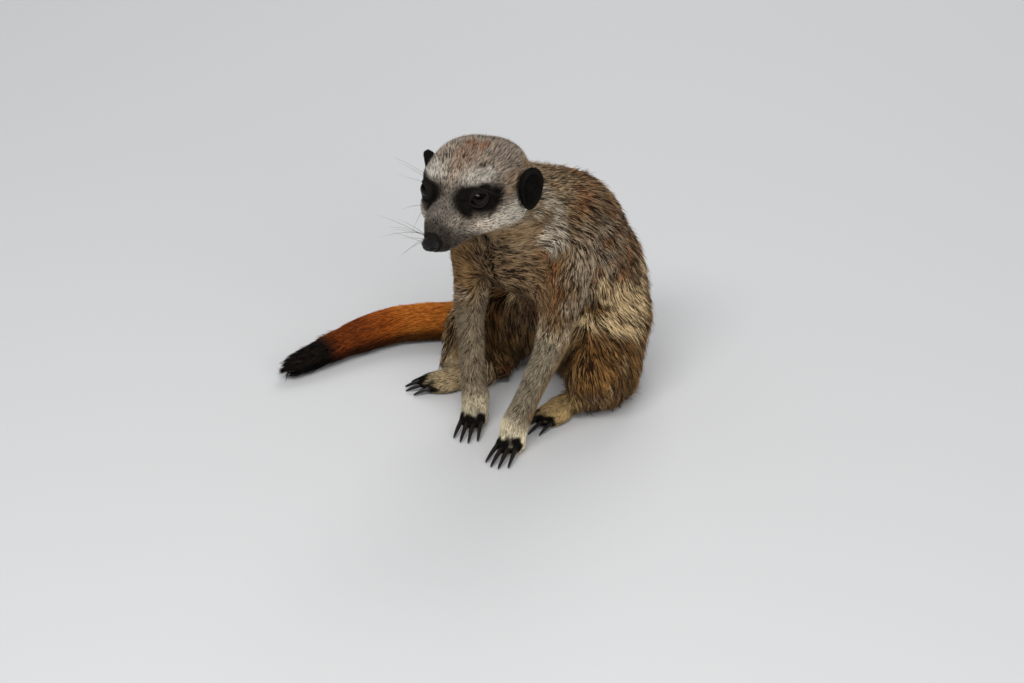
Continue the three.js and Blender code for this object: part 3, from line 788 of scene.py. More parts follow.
def patchy(points, size, seed):
    """A smooth random pattern with patches of the given size in mm, mostly between -1 and 1."""
    waves = np.random.default_rng(seed)
    total = 0
    for _ in range(9):
        way = unit(waves.normal(size=3)) * waves.uniform(0.7, 1.6) * np.pi / size
        total = total + np.sin(points @ way + waves.uniform(0, 2 * np.pi))
    return total / 2.1


def oval(points, middle, radii, seed=0, ragged=0.1, axes=np.eye(3)):
    """1 inside a soft, slightly ragged oval about a middle, 0 outside."""
    offset = (points - middle) @ np.array(axes).T / radii
    far = np.linalg.norm(offset, axis=1) + ragged * patchy(points, np.mean(radii) / 2, seed)
    return fade(far, 0.7, 1.25)


def near_line(points, line, reach):
    """1 on a bent line, fading to 0 at its reach."""
    far = [np.inf]
    for a, b in zip(np.array(line[:-1], float), np.array(line[1:], float)):
        t = np.clip((points - a) @ (b - a) / ((b - a) @ (b - a)), 0, 1)
        far = np.minimum(far, np.linalg.norm(points - a - t[:, None] * (b - a), axis=1))
    return fade(far, 0.5 * reach, 1.2 * reach)


def lay(mask, colours):
    """Lays a row of the chart over the markings where the mask says."""
    mask = np.clip(mask, 0, 1)[:, None]
    marks[:] = marks * (1 - mask) + colours * mask


# %% [markdown]
# The body has a grizzled flank, a silver band down the shoulder with a rust line in front of
# it, shade where the chest's hair parts and under the belly, and about ten dark bars across
# the back. Left and right are laid over each other along the spine, so that one mark serves
# both sides. Places are in millimetres.

# %% Body markings
ACROSS_MIDDLE = 31.5  # where the spine runs
BACK_CENTRE, BACK_RADIUS, BAR_SPACING = (5, 62), 75, 11  # the back curves round this y and z
SHOULDER_BAND = [[29, -5, 146], [31, 1, 131], [33, 0, 121]]
NECK_SIDE = [[30, -15, 139], [27, -12, 123]]
RUST_STRIP = [[30, -15, 139], [28.5, -12, 127], [29.5, -6, 112], [34, -5.5, 105],
              [37.5, -7, 94], [40, -10, 82]]

sideways, backwards, height = np.abs(skin[:, 0] - ACROSS_MIDDLE), skin[:, 1], skin[:, 2]
folded = np.stack([sideways, backwards, height], 1)  # both sides laid over each other
facing_back, facing_up = normals[:, 1], normals[:, 2]
on_trunk = web.blur(on_nodes("trunk", "neck") * 1.0, 20)

lay(0.75 * oval(folded, [40, 26, 98], [18, 24, 32], 14, 0.2), GRIZZLE)  # shoulders and flanks
lay(0.95 * near_line(folded + 2 * patchy(skin, 9, 1)[:, None], SHOULDER_BAND, 10), SILVER)
lay(near_line(folded, NECK_SIDE, 5), GINGER)
lay(0.7 * oval(folded, [18, -27, 126], [12, 10, 9], 15), GINGER)  # neck, under the jaw
lay(0.2 * oval(folded, [15, -22, 115], [14, 10, 11], 19), CHART["forearm"])  # foot of the neck
lay(0.75 * near_line(folded + patchy(skin, 7, 21)[:, None], RUST_STRIP, 5), RUST)
lay(0.35 * oval(skin, [7, -24, 80], [9, 14, 24], 13), GINGER)  # right upper arm
# painted shade down the chest's parting and round its lower end
lay(0.75 * at_chest * near_line(skin, [PARTING_TOP, PARTING_END], 4), PAINTED_SHADE_AND_MOTTLE)
lay(0.6 * oval(skin, PARTING_END + [3, 0, 3], [9, 12, 8], 13), PAINTED_SHADE_AND_MOTTLE)
lay(0.5 * oval(skin, [-20, 5, 26], [16, 30, 24], 12), CREAM)  # right knee

# painted shade under the belly
under = ramp(-backwards, -30, 0) * fade(height, 58, 88) * ramp(30 - sideways, 0, 10)
lay(0.9 * under * on_trunk, PAINTED_SHADE_AND_MOTTLE)
turn_of_back = np.arctan2(backwards - BACK_CENTRE[0], height - BACK_CENTRE[1])  # neck to rump
bars = np.sin(turn_of_back * BACK_RADIUS / BAR_SPACING * 2 * np.pi + 1.4 * patchy(skin, 14, 4))
on_back = ramp(turn_of_back, 0.15, 0.7) * ramp(facing_back + 0.5 * facing_up, 0.1, 0.6) * on_trunk
lay(0.85 * on_back * ramp(bars + 0.7 * patchy(skin, 5, 5), 0.1, 0.9), DARK_BAR)
lay(0.4 * on_trunk * ramp(turn_of_back, -0.3, 0.3) * ramp(patchy(skin, 8, 18), 0.2, 1), RUST)
print("body: mean pale colour", marks[on_nodes("trunk"), :3].mean(axis=0).round(3))

# %% [markdown]
# The arms turn grey above the elbow and have a warm fringe behind. The haunches are mottled
# with cream and dark brown and cream above, with painted shade inside the thighs and low on them.
# The right forearm, front paw and hind foot get painted shade too. The toes are black, back to
# a ragged edge some millimetres behind each claw. The throat is laid last, painted lighter where
# the head's shadow falls on it.

# %% Leg markings
BLACK_REACH = {"front_left": 6.5, "front_right": 6.5, "hind_left": 3.5, "hind_right": 4}  # mm
TOE_BLACK, TOE_EDGE = 3.2, 5.2  # mm: all black within the first, none beyond the second

for side in ("left", "right"):
    elbow = (middle_of(f"upper_arm_{side}") + middle_of(f"forearm_{side}")) / 2
    down_arm = (skin - elbow) @ LIE[f"upper_arm_{side}"]
    greying = ramp(down_arm + 4 * patchy(skin, 6, 10), -14, 14)
    lay(0.7 * on_nodes(f"upper_arm_{side}") * greying, CHART["forearm"])
outwards = normals[:, 0] * np.sign(skin[:, 0] - ACROSS_MIDDLE)
on_forearm = web.blur(on_nodes("forearm") * 1.0, 6)
fringe = on_forearm * ramp(0.5 * outwards + 0.6 * facing_back, 0.2, 0.7)
lay(0.7 * fringe, GINGER)

on_thigh = web.blur(on_nodes("thigh") * 1.0, 12)
# the haunches' own mottling of cream and dark brown
lay(0.4 * on_thigh * ramp(patchy(skin, 6, 16), 0.2, 1), CREAM)
lay(0.4 * on_thigh * ramp(patchy(skin, 7, 17), 0.2, 1), PAINTED_SHADE_AND_MOTTLE)
# painted shade low on the thighs and on their inner sides
lay(0.2 * on_thigh * fade(height, 8, 34), PAINTED_SHADE_AND_MOTTLE)
lay(0.6 * on_thigh * ramp(-outwards, -0.1, 0.5), PAINTED_SHADE_AND_MOTTLE)  # the inner side
lay(0.4 * on_nodes("thigh_right") * ramp(outwards, -0.2, 0.4), GINGER)
lay(0.7 * oval(folded, [46, 32, 44], [22, 26, 14], 3, 0.2), HAUNCH)
lay(0.9 * oval(folded, [36, 43, 65], [20, 23, 14], 2, 0.35), CREAM)
# painted shade: the right front paw, hind foot and forearm lie away from the light and are
# darkened with duller colours
lay(0.35 * on_nodes("paw_front_right") + 0.5 * on_nodes("foot_hind_right"), CHART["forearm"])
lay(0.3 * on_nodes("forearm_right"), CHART["upper_arm"])

on_toes = np.zeros(len(skin))
for foot, black_reach in BLACK_REACH.items():
    node = f"paw_{foot}" if foot.startswith("front") else f"foot_{foot}"
    claws = [middle_of(name) for name in frame["nodes"] if name.startswith(f"claw_{foot}")]
    claws.append(np.mean(claws, axis=0))  # so that no gap is left between the toes
    back = LIE[node] * np.linspace(0, black_reach, 7)[:, None]
    on_foot = np.flatnonzero(on_nodes(node))
    from_toes = nearest_distance(skin[on_foot], np.concatenate([claw - back for claw in claws]))
    on_toes[on_foot] = fade(from_toes + 0.6 * patchy(skin[on_foot], 3, 9), TOE_BLACK, TOE_EDGE)
lay(on_toes, BLACK)
# painted light on the throat, where the head's shadow falls
lay(0.7 * oval(folded, [10, -28, 130], [24, 16, 18], 3, 0.2), THROAT_WITH_PAINTED_LIGHT)
print("legs:", int((on_toes > 0.5).sum()), "points of black toes")

# %% [markdown]
# The tail is orange, redder towards its black end, and darker below as painted shade on its
# underside.

# %% Tail markings
on_tail = web.blur(on_nodes("tail") * 1.0, 8)
down_tail = (skin - middle_of("tail_4")) @ LIE["tail_4"]
towards_tip = (skin - middle_of("tail_5")) @ LIE["tail_5"]
lay(on_nodes("tail_5") * fade(towards_tip, -14, -2), TAIL_END)
lay(on_nodes("tail_4") * ramp(down_tail + 1.5 * patchy(skin, 5, 23), -18, 12), TAIL_END)
# painted shade on the tail's underside, which faces down
marks[:, :6] *= (1 - 0.84 * on_tail * ramp(-facing_up, -0.5, 0.4))[:, None]
print("tail:", int((on_tail > 0.5).sum()), "points")

# %% [markdown]
# The face is pale on cheeks and brows, ginger under the jaw and behind the cheek, rusty on the
# crown and dark on the muzzle. The black patch round each eye is an oval turned to follow the
# head's side. These marks are laid in the face's own frame, both sides over each other, by
# how far out, back and up a point lies.

# %% Face markings
BROW_AXES = [[0.74, 0.67, 0], [0.67, -0.74, 0], [0, 0, 1]]  # along it, across it and up
LIGHT_STREAK = [[10.5, -41, -3.5], [15.5, -33, -9], [21, -28, -9]]
PATCH_ALONG, PATCH_LENGTH, PATCH_HEIGHT, PATCH_DROP = [0.64, 0.77, 0], 14.5, 9.4, 1.4
PATCH_LIMIT = 22  # mm from the eye

left = to_left(at)
out, back, up = left.T
eye = left - FACE_EYE
on_head = web.blur(on_head * 1.0, 10)
lay(on_head * fade(up, -8, 0) * fade(back, -2, 14) * ramp(back, -42, -12), CHEEK)
above_jaw = up + 0.35 * np.clip(back + 17, 0, None)
lay(0.85 * on_head * fade(above_jaw, -19, -13) * ramp(back, -38, -30), GINGER)
lay(0.8 * on_head * ramp(back, 5, 12) * ramp(out, 18, 24), GINGER)
lay(on_head * fade(out, 6, 12) * ramp(-back, 24, 36) * ramp(up, -4, 2), BRIDGE)
lay(oval(left, [14.5, -19.5, 14.6], [10.5, 6.5, 3.3], 6, axes=BROW_AXES), BROW)
lay(0.3 * oval(left, [0, -8, 18], [6, 9, 7], 24, 0.3), RUST)  # forehead
lay(0.9 * oval(left, [0, 2, 20.6], [6, 6, 4], 7, 0.3), RUST)  # crown
lay(0.4 * oval(left, [24, -4, 4], [6, 9, 7], 25), GINGER)  # temple
lay(0.9 * on_head * ramp(-back, 33, 41) * fade(up, -4, 1), JAW)
lay(0.15 * on_head * near_line(left, LIGHT_STREAK, 4.5), CHEEK)
lay(0.8 * on_head * near_line(left, MOUTH_LINE, 4.5), JAW)
lay(on_head * ramp(-back + 0.25 * patchy(left, 3, 22), 44, 49), MUZZLE)

from_nose = np.linalg.norm(skin - middle_of("nose"), axis=1)
lay(fade(from_nose, 5.6, 7.2), BLACK)
patch = np.hypot(eye @ PATCH_ALONG / PATCH_LENGTH, (eye[:, 2] + PATCH_DROP) / PATCH_HEIGHT)
patch += 0.015 * patchy(left, 4, 8)
lay(on_head * fade(patch, 0.8, 1.15) * (np.linalg.norm(eye, axis=1) < PATCH_LIMIT), BLACK)
lay(bump_at(from_mouth, 0.7), BLACK)
lay(fade(lid_gap, 0.4, 1.4), BLACK)  # the lids' edges
marks[:, :6] *= COAT_LIFT
print("markings laid; mean pale colour", marks[:, :3].mean(axis=0).round(3))

# %% [markdown]
# ## How hair gets its colour
# Each wild hair is banded: dark at its root, pale along its middle and often dark again at
# its tip. The darkening towards the root is partly the hair's own dark base and partly painted
# shade for the shadow deep in the coat. The node group below takes the two colours of the
# place, the share of dark hairs, a random number that each lock carries, and the distance along
# the lock, and gives one colour. Skin and coat both use it, so they always match.

# %% Shader group: coat colour
SOFT_SHARE = 0.14  # a hair passes from dark to pale over this much each side of the share
TICKED_FROM, TICKED_TO, TICK = 0.62, 0.7, 0.6  # which hairs have a dark tip, and how dark


def coat_colour_group():
    group, source, result = node_group("coat colour", Pale="Color", Dark="Color", Share="Float",
                                       Chance="Float", Along="Float")
    low = arithmetic(group, "SUBTRACT", source["Share"], SOFT_SHARE)
    high = arithmetic(group, "ADD", source["Share"], SOFT_SHARE)
    hair = mix(group, stretch(group, source["Chance"], low, high), source["Dark"], source["Pale"])
    # painted shade: each lock is darkened towards its root, as the shadow deep in the coat
    shadow = stretch(group, source["Along"], 0, 0.55, (0.3, 1))  # deepest at the root
    shaded = put(group, "ShaderNodeVectorMath", {0: hair, "Scale": shadow}, operation="SCALE")
    odd = arithmetic(group, "FRACT", arithmetic(group, "MULTIPLY", source["Chance"], 7.0))
    ticked = stretch(group, odd, TICKED_FROM, TICKED_TO, (0, TICK))
    dark_tip = arithmetic(group, "MULTIPLY", ticked, stretch(group, source["Along"], 0.72, 0.95))
    banded = mix(group, dark_tip, shaded.outputs[0], source["Dark"])
    group.links.new(banded, result)
    return group


COAT_COLOUR = coat_colour_group()


def coat_colours(tree, chance):
    """The group's colour, from a random number and from what the mesh carries."""
    carried = {"Pale": "Color", "Dark": "Color", "Share": "Fac", "Along": "Fac"}
    inputs = {key: attribute(tree, key.lower(), output) for key, output in carried.items()}
    made = put(tree, "ShaderNodeGroup", {**inputs, "Chance": chance}, node_tree=COAT_COLOUR)
    return made.outputs["Color"]


def coat_material():
    """For the locks, which each carry their own random number."""
    material, tree, shader = new_material("coat", roughness=0.6, gloss=0.12)
    tree.links.new(coat_colours(tree, attribute(tree, "chance")), shader["Base Color"])
    return material


def skin_material():
    """The skin under the hair: the same colours, with a fine grain for the shortest hair."""
    material, tree, shader = new_material("skin", roughness=0.7, gloss=0.2)
    grain = stretch(tree, noise(tree, 1400.0, 2.0), 0.3, 0.7)
    tree.links.new(coat_colours(tree, grain), shader["Base Color"])
    bump(tree, shader, noise(tree, 3500.0, 1.0), 0.5, 0.0003)
    return material


COAT, SKIN = coat_material(), skin_material()

# %% [markdown]
# ## The skin's object
# The finished skin stands for every node of flesh. Where the coat is deep its colour is the
# dark of hair roots, darkened with their painted shade, and on the muzzle and feet it is the
# coat's own.

# %% Skin object
def store(mesh, name, values):
    """Keeps a value, or a colour, on every point of a mesh."""
    values = np.asarray(values, np.float32)
    kind = "FLOAT_COLOR" if values.ndim == 2 else "FLOAT"
    layer = mesh.attributes.new(name, kind, "POINT")
    if values.ndim == 2:
        values = np.pad(values, ((0, 0), (0, 1)), constant_values=1)
        layer.data.foreach_set("color", values.ravel())
    else:
        layer.data.foreach_set("value", values)


def store_marks(mesh, values):
    """Keeps rows of the colour chart, as two colours and a share."""
    store(mesh, "pale", values[:, :3])
    store(mesh, "dark", values[:, 3:6])
    store(mesh, "share", values[:, 6])


thin_coat = 1 - ramp(depth, 0.9, 2.5)
store_marks(skin_mesh, marks)
# a low distance along the hair gives the skin the roots' painted shade where the coat is deep
store(skin_mesh, "along", 0.15 + 0.4 * thin_coat)
skin_mesh.name = "skin"
skin_mesh.shade_smooth()
skin_mesh.materials.clear()
skin_mesh.materials.append(SKIN)
skin_piece = bpy.data.objects.new("skin", skin_mesh)
bpy.context.scene.collection.objects.link(skin_piece)
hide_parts(*FLESH)
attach(skin_piece, "root")
print("skin object with", len(skin_mesh.polygons), "faces")

# %% [markdown]
# ## Locks of hair
# A lock is a thin tapering solid with a three-sided section: two rings and a point on the
# body, and a plain four-faced spike on the face, feet and ears, where hair is short. It
# starts a little under the skin, follows the skin along the coat's lie, and rises to its tip.
# Neighbours lean towards a common tip now and then, as hairs in a real coat do.

# %% Surfaces that hair can grow on
class Surface:
    """A mesh with values on its points, for sowing roots and laying locks along it."""

    def __init__(self, points, triangles, **fields):
        self.triangles = triangles
        self.fields = {"place": points, "normal": normals_of(points, triangles), **fields}
        a, b, c = (points[triangles[:, i]] for i in range(3))
        self.corner, self.edges = a, (b - a, c - a)
        self.areas = np.linalg.norm(np.cross(b - a, c - a), axis=1) / 2
        self.tree = BVHTree.FromPolygons(points.tolist(), triangles.tolist())

    def sow(self, rng, weight, count):
        """Roots spread over the triangles: each one's triangle and its place within it."""
        reach = np.cumsum(self.areas * weight)
        spots = (np.arange(count) + rng.random(count)) / count * reach[-1]
        which = np.minimum(np.searchsorted(reach, spots), len(reach) - 1)
        u, v = rng.random(count), rng.random(count)
        over = u + v > 1
        u[over], v[over] = 1 - u[over], 1 - v[over]
        return which, np.stack([1 - u - v, u, v], 1)

    def at(self, field, spots):
        """A value at spots on the surface, blended between the triangle's corners."""
        which, shares = spots
        values = self.fields[field][self.triangles[which]]
        return np.einsum("nk,nk...->n...", shares, values)

    def settle(self, points):
        """The nearest spots on the surface."""
        found = [self.tree.find_nearest(p) for p in points.tolist()]
        which = np.array([f[2] for f in found])
        offset = np.array([f[0] for f in found]) - self.corner[which]
        e, f = self.edges[0][which], self.edges[1][which]
        ee, ef, ff = (e * e).sum(1), (e * f).sum(1), (f * f).sum(1)
        oe, of = (offset * e).sum(1), (offset * f).sum(1)
        span = np.maximum(ee * ff - ef * ef, 1e-12)
        v, w = (ff * oe - ef * of) / span, (ee * of - ef * oe) / span
        return which, np.clip(np.stack([1 - v - w, v, w], 1), 0, 1)


def unwrap(points, triangles):
    """An automatic unwrap of a part of a surface: a flat place for each triangle corner."""
    sheet = make_piece("unwrap", points, triangles)
    bpy.ops.object.select_all(action="DESELECT")
    sheet.select_set(True)
    bpy.context.view_layer.objects.active = sheet
    bpy.ops.object.mode_set(mode="EDIT")
    bpy.ops.mesh.select_all(action="SELECT")
    bpy.ops.uv.smart_project(angle_limit=np.radians(66), island_margin=0.003)
    bpy.ops.object.mode_set(mode="OBJECT")
    places = np.empty(2 * triangles.size)
    sheet.data.uv_layers.active.data.foreach_get("uv", places)
    bpy.data.objects.remove(sheet)
    return places.reshape(-1, 3, 2)


# %% [markdown]
# A lock is laid in three steps: its root is sown, its middle lies half a length further along
# the surface, and its tip another half on, both lifted off the skin. Where the coat hangs
# free, as on the tail's end, the lock runs straight on instead of following the skin.

# %% Laying a lock
GUARD_HAIRS, GUARD_RISE, GUARD_WIDTH = 0.1, 1.5, 0.6  # the few that stand out beyond the rest
ARCH = 0.62  # how far a lock's middle has risen, of its tip's rise
LEADER_STEP = 14  # one lock in so many gathers its neighbours
MIDDLE_PULL = 0.4  # how far a lock's middle follows, of its tip's pull
LOWEST = 0.08  # mm above the floor


def lay_locks(surface, where, rng, seed):
    """For locks rooted at the spots: the frame of each at root and middle, its tip and more."""
    count = len(where[0])
    root, up, way = (surface.at(f, where) for f in ("place", "normal", "lie"))
    up = unit(up)
    way = in_plane(way, up)
    swirl = surface.at("swirl", where) * patchy(root, 7, seed) + rng.normal(0, 0.14, count)
    way = unit(way * np.cos(swirl)[:, None] + np.cross(up, way) * np.sin(swirl)[:, None])
    length = (surface.at("length", where) * rng.uniform(0.7, 1.25, count))[:, None]
    width = surface.at("width", where) * rng.uniform(0.7, 1.3, count)
    spot = surface.settle(root + way * length / 2)
    middle, up_middle = surface.at("place", spot), unit(surface.at("normal", spot))
    colours = surface.at("marks", spot)  # of the lock's middle, which shows most
    onwards = in_plane(way + unit(surface.at("lie", spot)) * 0.6, up_middle)
    spot = surface.settle(middle + onwards * length / 2)
    tip, up_tip = surface.at("place", spot), unit(surface.at("normal", spot))

    rise = surface.at("rise", where) * rng.triangular(0.35, 0.8, 1.12, count)
    guard = rng.random(count) < GUARD_HAIRS
    rise[guard] *= GUARD_RISE
    width[guard] *= GUARD_WIDTH
    rise, free = rise[:, None], surface.at("free", where)[:, None]
    middle = middle + up_middle * (ARCH * rise)
    middle += free * (root + 0.5 * length * way + ARCH * rise * up - middle)
    tip = tip + up_tip * rise
    tip += free * (root + length * way + rise * up - tip)
    return root, up, way, middle, up_middle, tip, width, guard, colours


def gather(root, middle, tip, share, rng):
    """Leans locks towards the nearest leader, as hairs in a real coat do."""
    leaders = np.arange(0, len(root), LEADER_STEP)
    tree = KDTree(len(leaders))
    for i in leaders:
        tree.insert(root[i], int(i))
    tree.balance()
    leader = np.array([tree.find(p)[1] for p in root.tolist()])
    pull = share[:, None] * rng.random((len(root), 1))
    tip = tip + (tip[leader] - tip) * pull
    return middle + (middle[leader] - middle) * pull * MIDDLE_PULL, tip


# %% [markdown]
# Each lock also needs a place on a flat map, so that its colours can be painted into one
# picture later. The skin's own shape is unwrapped, and a lock takes a small patch at its
# root: across the patch is across the lock, and up the patch is along it.

# %% A lock's place on the unwrap
PATCH = 0.003  # each lock's share of the unwrap


def unwrap(points, triangles):
    """An automatic unwrap of a part of a surface: a flat place for each triangle corner."""
    sheet = make_piece("unwrap", points, triangles)
    bpy.ops.object.select_all(action="DESELECT")
    sheet.select_set(True)
    bpy.context.view_layer.objects.active = sheet
    bpy.ops.object.mode_set(mode="EDIT")
    bpy.ops.mesh.select_all(action="SELECT")
    bpy.ops.uv.smart_project(angle_limit=np.radians(66), island_margin=0.003)
    bpy.ops.object.mode_set(mode="OBJECT")
    places = np.empty(2 * triangles.size)
    sheet.data.uv_layers.active.data.foreach_get("uv", places)
    bpy.data.objects.remove(sheet)
    return places.reshape(-1, 3, 2)


def unwrapped_roots(surface, chosen, where):
    """Each root's place on an unwrap of the chosen triangles."""
    part = np.flatnonzero(chosen)
    used, inverse = np.unique(surface.triangles[part], return_inverse=True)
    flat = np.zeros((len(chosen), 3, 2))
    flat[part] = unwrap(surface.fields["place"][used], inverse.reshape(-1, 3))
    return np.einsum("nk,nkc->nc", where[1], flat[where[0]])


# %% [markdown]
# The locks of one piece are all made at once: each is the same few points and faces, so the
# whole piece is one long list of them. A lock's points carry its colours, one random number
# and how far along the lock they lie.

# %% Growing locks
LOCK_FACES = np.array([[0, 2, 1], [0, 1, 4], [0, 4, 3], [1, 2, 5], [1, 5, 4], [2, 0, 3], [2, 3, 5],
                       [3, 4, 6], [4, 5, 6], [5, 3, 6]])
LOCK_ALONG, LOCK_ACROSS = [0, 0, 0, 0.5, 0.5, 0.5, 1], [-1, 1, 0, -1, 1, 0, 0]
SPIKE_FACES = np.array([[0, 2, 1], [0, 1, 3], [1, 2, 3], [2, 0, 3]])
SPIKE_ALONG, SPIKE_ACROSS = [0, 0, 0, 1], [-1, 1, 0, 0]
ROOT_SUNK, ROOT_WIDTH = 0.25, 0.8  # mm, and of the lock's width
GUARD_PALER = 0.45  # the outstanding hairs are the pale ones


def section(middle, side, up, width):
    """The three corners of a lock's flat three-sided section."""
    half, thick = side * width[:, None] / 2, up * width[:, None] / 4
    return [middle - half - thick, middle + half - thick, middle + thick]


def grow_locks(name, surface, chosen, count, seed, tones, spikes=False):
    """Sows locks on the chosen triangles and joins them in one piece.

    The two tones say how far a tuft as a whole, and a single lock, strays from the mean tone.
    """
    rng = np.random.default_rng(seed)
    density = surface.fields["density"][surface.triangles].mean(axis=1)
    where = surface.sow(rng, chosen * density, count)
    laid = lay_locks(surface, where, rng, seed)
    root, up, way, middle, up_middle, tip, width, guard, colours = laid
    middle, tip = gather(root, middle, tip, surface.at("clump", where), rng)

    root = root - up * ROOT_SUNK
    side = unit(np.cross(way, up))
    if spikes:
        rings = section(root, side, up, width) + [tip]
        along, across, faces = SPIKE_ALONG, SPIKE_ACROSS, SPIKE_FACES
    else:
        side_middle = unit(np.cross(tip - root, up_middle))
        rings = section(root, side, up, ROOT_WIDTH * width)
        rings += section(middle, side_middle, up_middle, width) + [tip]
        along, across, faces = LOCK_ALONG, LOCK_ACROSS, LOCK_FACES
    points = np.stack(rings, 1)
    points[..., 2] = np.maximum(points[..., 2], LOWEST)
    per_lock = points.shape[1]
    triangles = (np.arange(count)[:, None, None] * per_lock + faces).reshape(-1, 3)
    piece = make_piece(name, points.reshape(-1, 3), triangles)

    mesh = piece.data
    store_marks(mesh, np.repeat(colours, per_lock, axis=0))
    tuft, single = tones
    chance = 0.5 + single * rng.normal(size=count) + tuft * patchy(points[:, 0], 2.8, seed + 1)
    chance += GUARD_PALER * guard
    store(mesh, "chance", np.repeat(np.clip(chance, 0, 1), per_lock))
    store(mesh, "along", np.tile(along, count))
    spread = np.stack([np.array(across) / 2, np.array(along) - 0.5], 1) * PATCH
    uv = np.clip(unwrapped_roots(surface, chosen, where)[:, None] + spread, 0, 1).reshape(-1, 2)
    corners = uv[triangles.ravel()].astype(np.float32).ravel()
    mesh.uv_layers.new(name="OFBake").data.foreach_set("uv", corners)
    mesh.materials.append(COAT)
    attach(piece, "root")
    print(f"{name}: {count} locks, {len(triangles)} triangles")
    return piece


# %% [markdown]
# The coat differs over the body: long locks on the haunches and back, short fur on the arms,
# a close pile on the face and feet. Values on the skin say how: how densely locks are sown, a
# lock's length and width, how far its tip rises, how freely it hangs, how much the lie swirls
# and how much locks clump.

# %% Coat values on the skin
LENGTH = {
    "head": 3.7, "neck": 10, "trunk_front": 12, "trunk_middle": 12, "trunk_rear": 14, "thigh": 14,
    "upper_arm": 8, "forearm": 4.4, "paw": 2.4, "foot": 3.0, "tail_5": 9, "tail": 10,
}
WIDTH = {
    "head": 0.42, "neck": 0.52, "trunk": 0.54, "thigh": 0.56, "upper_arm": 0.5, "forearm": 0.42,
    "paw": 0.38, "foot": 0.4, "tail": 0.5,
}
SWIRL = {"head": 0.2, "trunk": 0.18, "neck": 0.2, "thigh": 0.18, "upper_arm": 0.15, "tail": 0.06}
LEAST_RISE = 0.9  # mm

muzzle = on_head * ramp(-back, 2, 42)
near_opening = ramp(lid_gap, 0.8, 6)  # 0 at the lids, where hair is shortest
hem = on_thigh * fade(height, 25, 55)  # where the thigh's hair is longest
brush = on_nodes("tail_5") * ramp(normals @ LIE["tail_5"], 0.1, 0.8)  # the end of the tail
tail_tip = on_nodes("tail_5") * ramp(towards_tip, -2, 16)
skirt = 0.6 * on_thigh * fade(height, 8, 26)  # the thighs' lowest hair, which hangs over the feet
covered = (lid_gap > 0.7) & (from_nose > 4.8) & (from_mouth > 0.5)

length = web.blur(per_node(LENGTH, 8), 60) * (1 - 0.55 * muzzle) * (1 + 0.4 * hem)
length *= (1 + 0.5 * fringe + 0.6 * on_toes) * (0.35 + 0.65 * near_opening)
rise = np.maximum(depth, LEAST_RISE) * (0.3 + 0.7 * near_opening) * (1 + 0.6 * brush)
body = Surface(
    skin, triangles, lie=lie, marks=marks, length=length, rise=rise,
    density=covered * (1 + 0.4 * muzzle),
    width=web.blur(per_node(WIDTH, 0.5), 30) * (1 + 0.1 * muzzle),
    free=np.maximum(tail_tip, skirt),
    swirl=web.blur(per_node(SWIRL, 0.1), 20),
    clump=0.85 * ramp(depth, 1.5, 4),
)
print("skin area", round(body.areas.sum() / 100), "cm2")

# %% [markdown]
# The coat is grown in pieces, so that none is too heavy. Each has the whole of its part of
# the body and its own unwrap.

# %% Grow the coat
EVEN, SPECKLED, SLEEK = (0.06, 0.34), (0.05, 0.6), (0.06, 0.26)  # how far tufts and locks stray
SOFT, MOTTLED, TUFTED = (0.16, 0.34), (0.3, 0.38), (0.42, 0.4)
REGIONS = (  # name, slot, nodes it grows on, locks, tones, spikes
    ("coat_head", "head_coat", ("head",), 49000, SPECKLED, True),
    ("coat_neck", "body_coat", ("neck",), 11000, SOFT, False),
    ("coat_shoulders", "body_coat", ("trunk_front",), 17500, MOTTLED, False),
    ("coat_back", "body_coat", ("trunk_middle",), 14000, TUFTED, False),
    ("coat_rump", "body_coat", ("trunk_rear",), 14500, TUFTED, False),
    ("coat_haunch_left", "body_coat", ("thigh_left",), 14000, TUFTED, False),
    ("coat_haunch_right", "body_coat", ("thigh_right",), 11500, TUFTED, False),
    ("coat_arms", "leg_coat", ("upper_arm",), 11000, SOFT, False),
    ("coat_forearms", "leg_coat", ("forearm",), 27000, EVEN, True),
    ("coat_paws", "paw_coat", ("paw", "foot"), 20000, EVEN, True),
    ("coat_tail", "tail_coat", ("tail",), 18000, SLEEK, False),
)
FIRST_SEED = 20
triangle_label = label[triangles[:, 0]]
for number, (name, slot, nodes, count, tones, spikes) in enumerate(REGIONS):
    numbers = [i for i, node in enumerate(FLESH) if node.startswith(nodes)]
    chosen = np.isin(triangle_label, numbers)
    grow_locks(name, body, chosen, count, FIRST_SEED + number, tones, spikes)

# %% [markdown]
# ## Eyes
# The ball is wet and nearly black. Its clear front bulges a little, which gives the sharp
# highlight that makes an eye look alive. The iris is a very dark brown ring round a wide
# pupil, and the colour comes from how far a point lies from the line of sight.

# %% Eye material
IRIS_DARK, IRIS_PALE = (0.002, 0.0014, 0.001, 1), (0.007, 0.004, 0.0025, 1)
EYE_RING, PUPIL = (0.004, 0.003, 0.0025, 1), (0.001, 0.001, 0.001, 1)


def eye_colour_group():
    """The colour of a place on the ball, by how far across and up it is from the line of sight."""
    group, source, result = node_group("eye colour", Across="Float", Up="Float")
    place = put(group, "ShaderNodeCombineXYZ", {"X": source["Across"], "Y": source["Up"]})
    place = place.outputs[0]
    far = put(group, "ShaderNodeVectorMath", {0: place}, operation="LENGTH").outputs["Value"]
    wide = put(group, "ShaderNodeVectorMath", {0: place, 1: (0.8, 1.3, 1)}, operation="MULTIPLY")
    from_pupil = put(group, "ShaderNodeVectorMath", {0: wide.outputs[0]}, operation="LENGTH")
    iris = mix(group, noise(group, 2.2, 3.0, Vector=place), IRIS_DARK, IRIS_PALE)
    outer = mix(group, stretch(group, far, 3.2, 3.8), iris, EYE_RING)
    hole = stretch(group, from_pupil.outputs["Value"], 1.4, 1.7)
    group.links.new(mix(group, hole, PUPIL, outer), result)
    return group


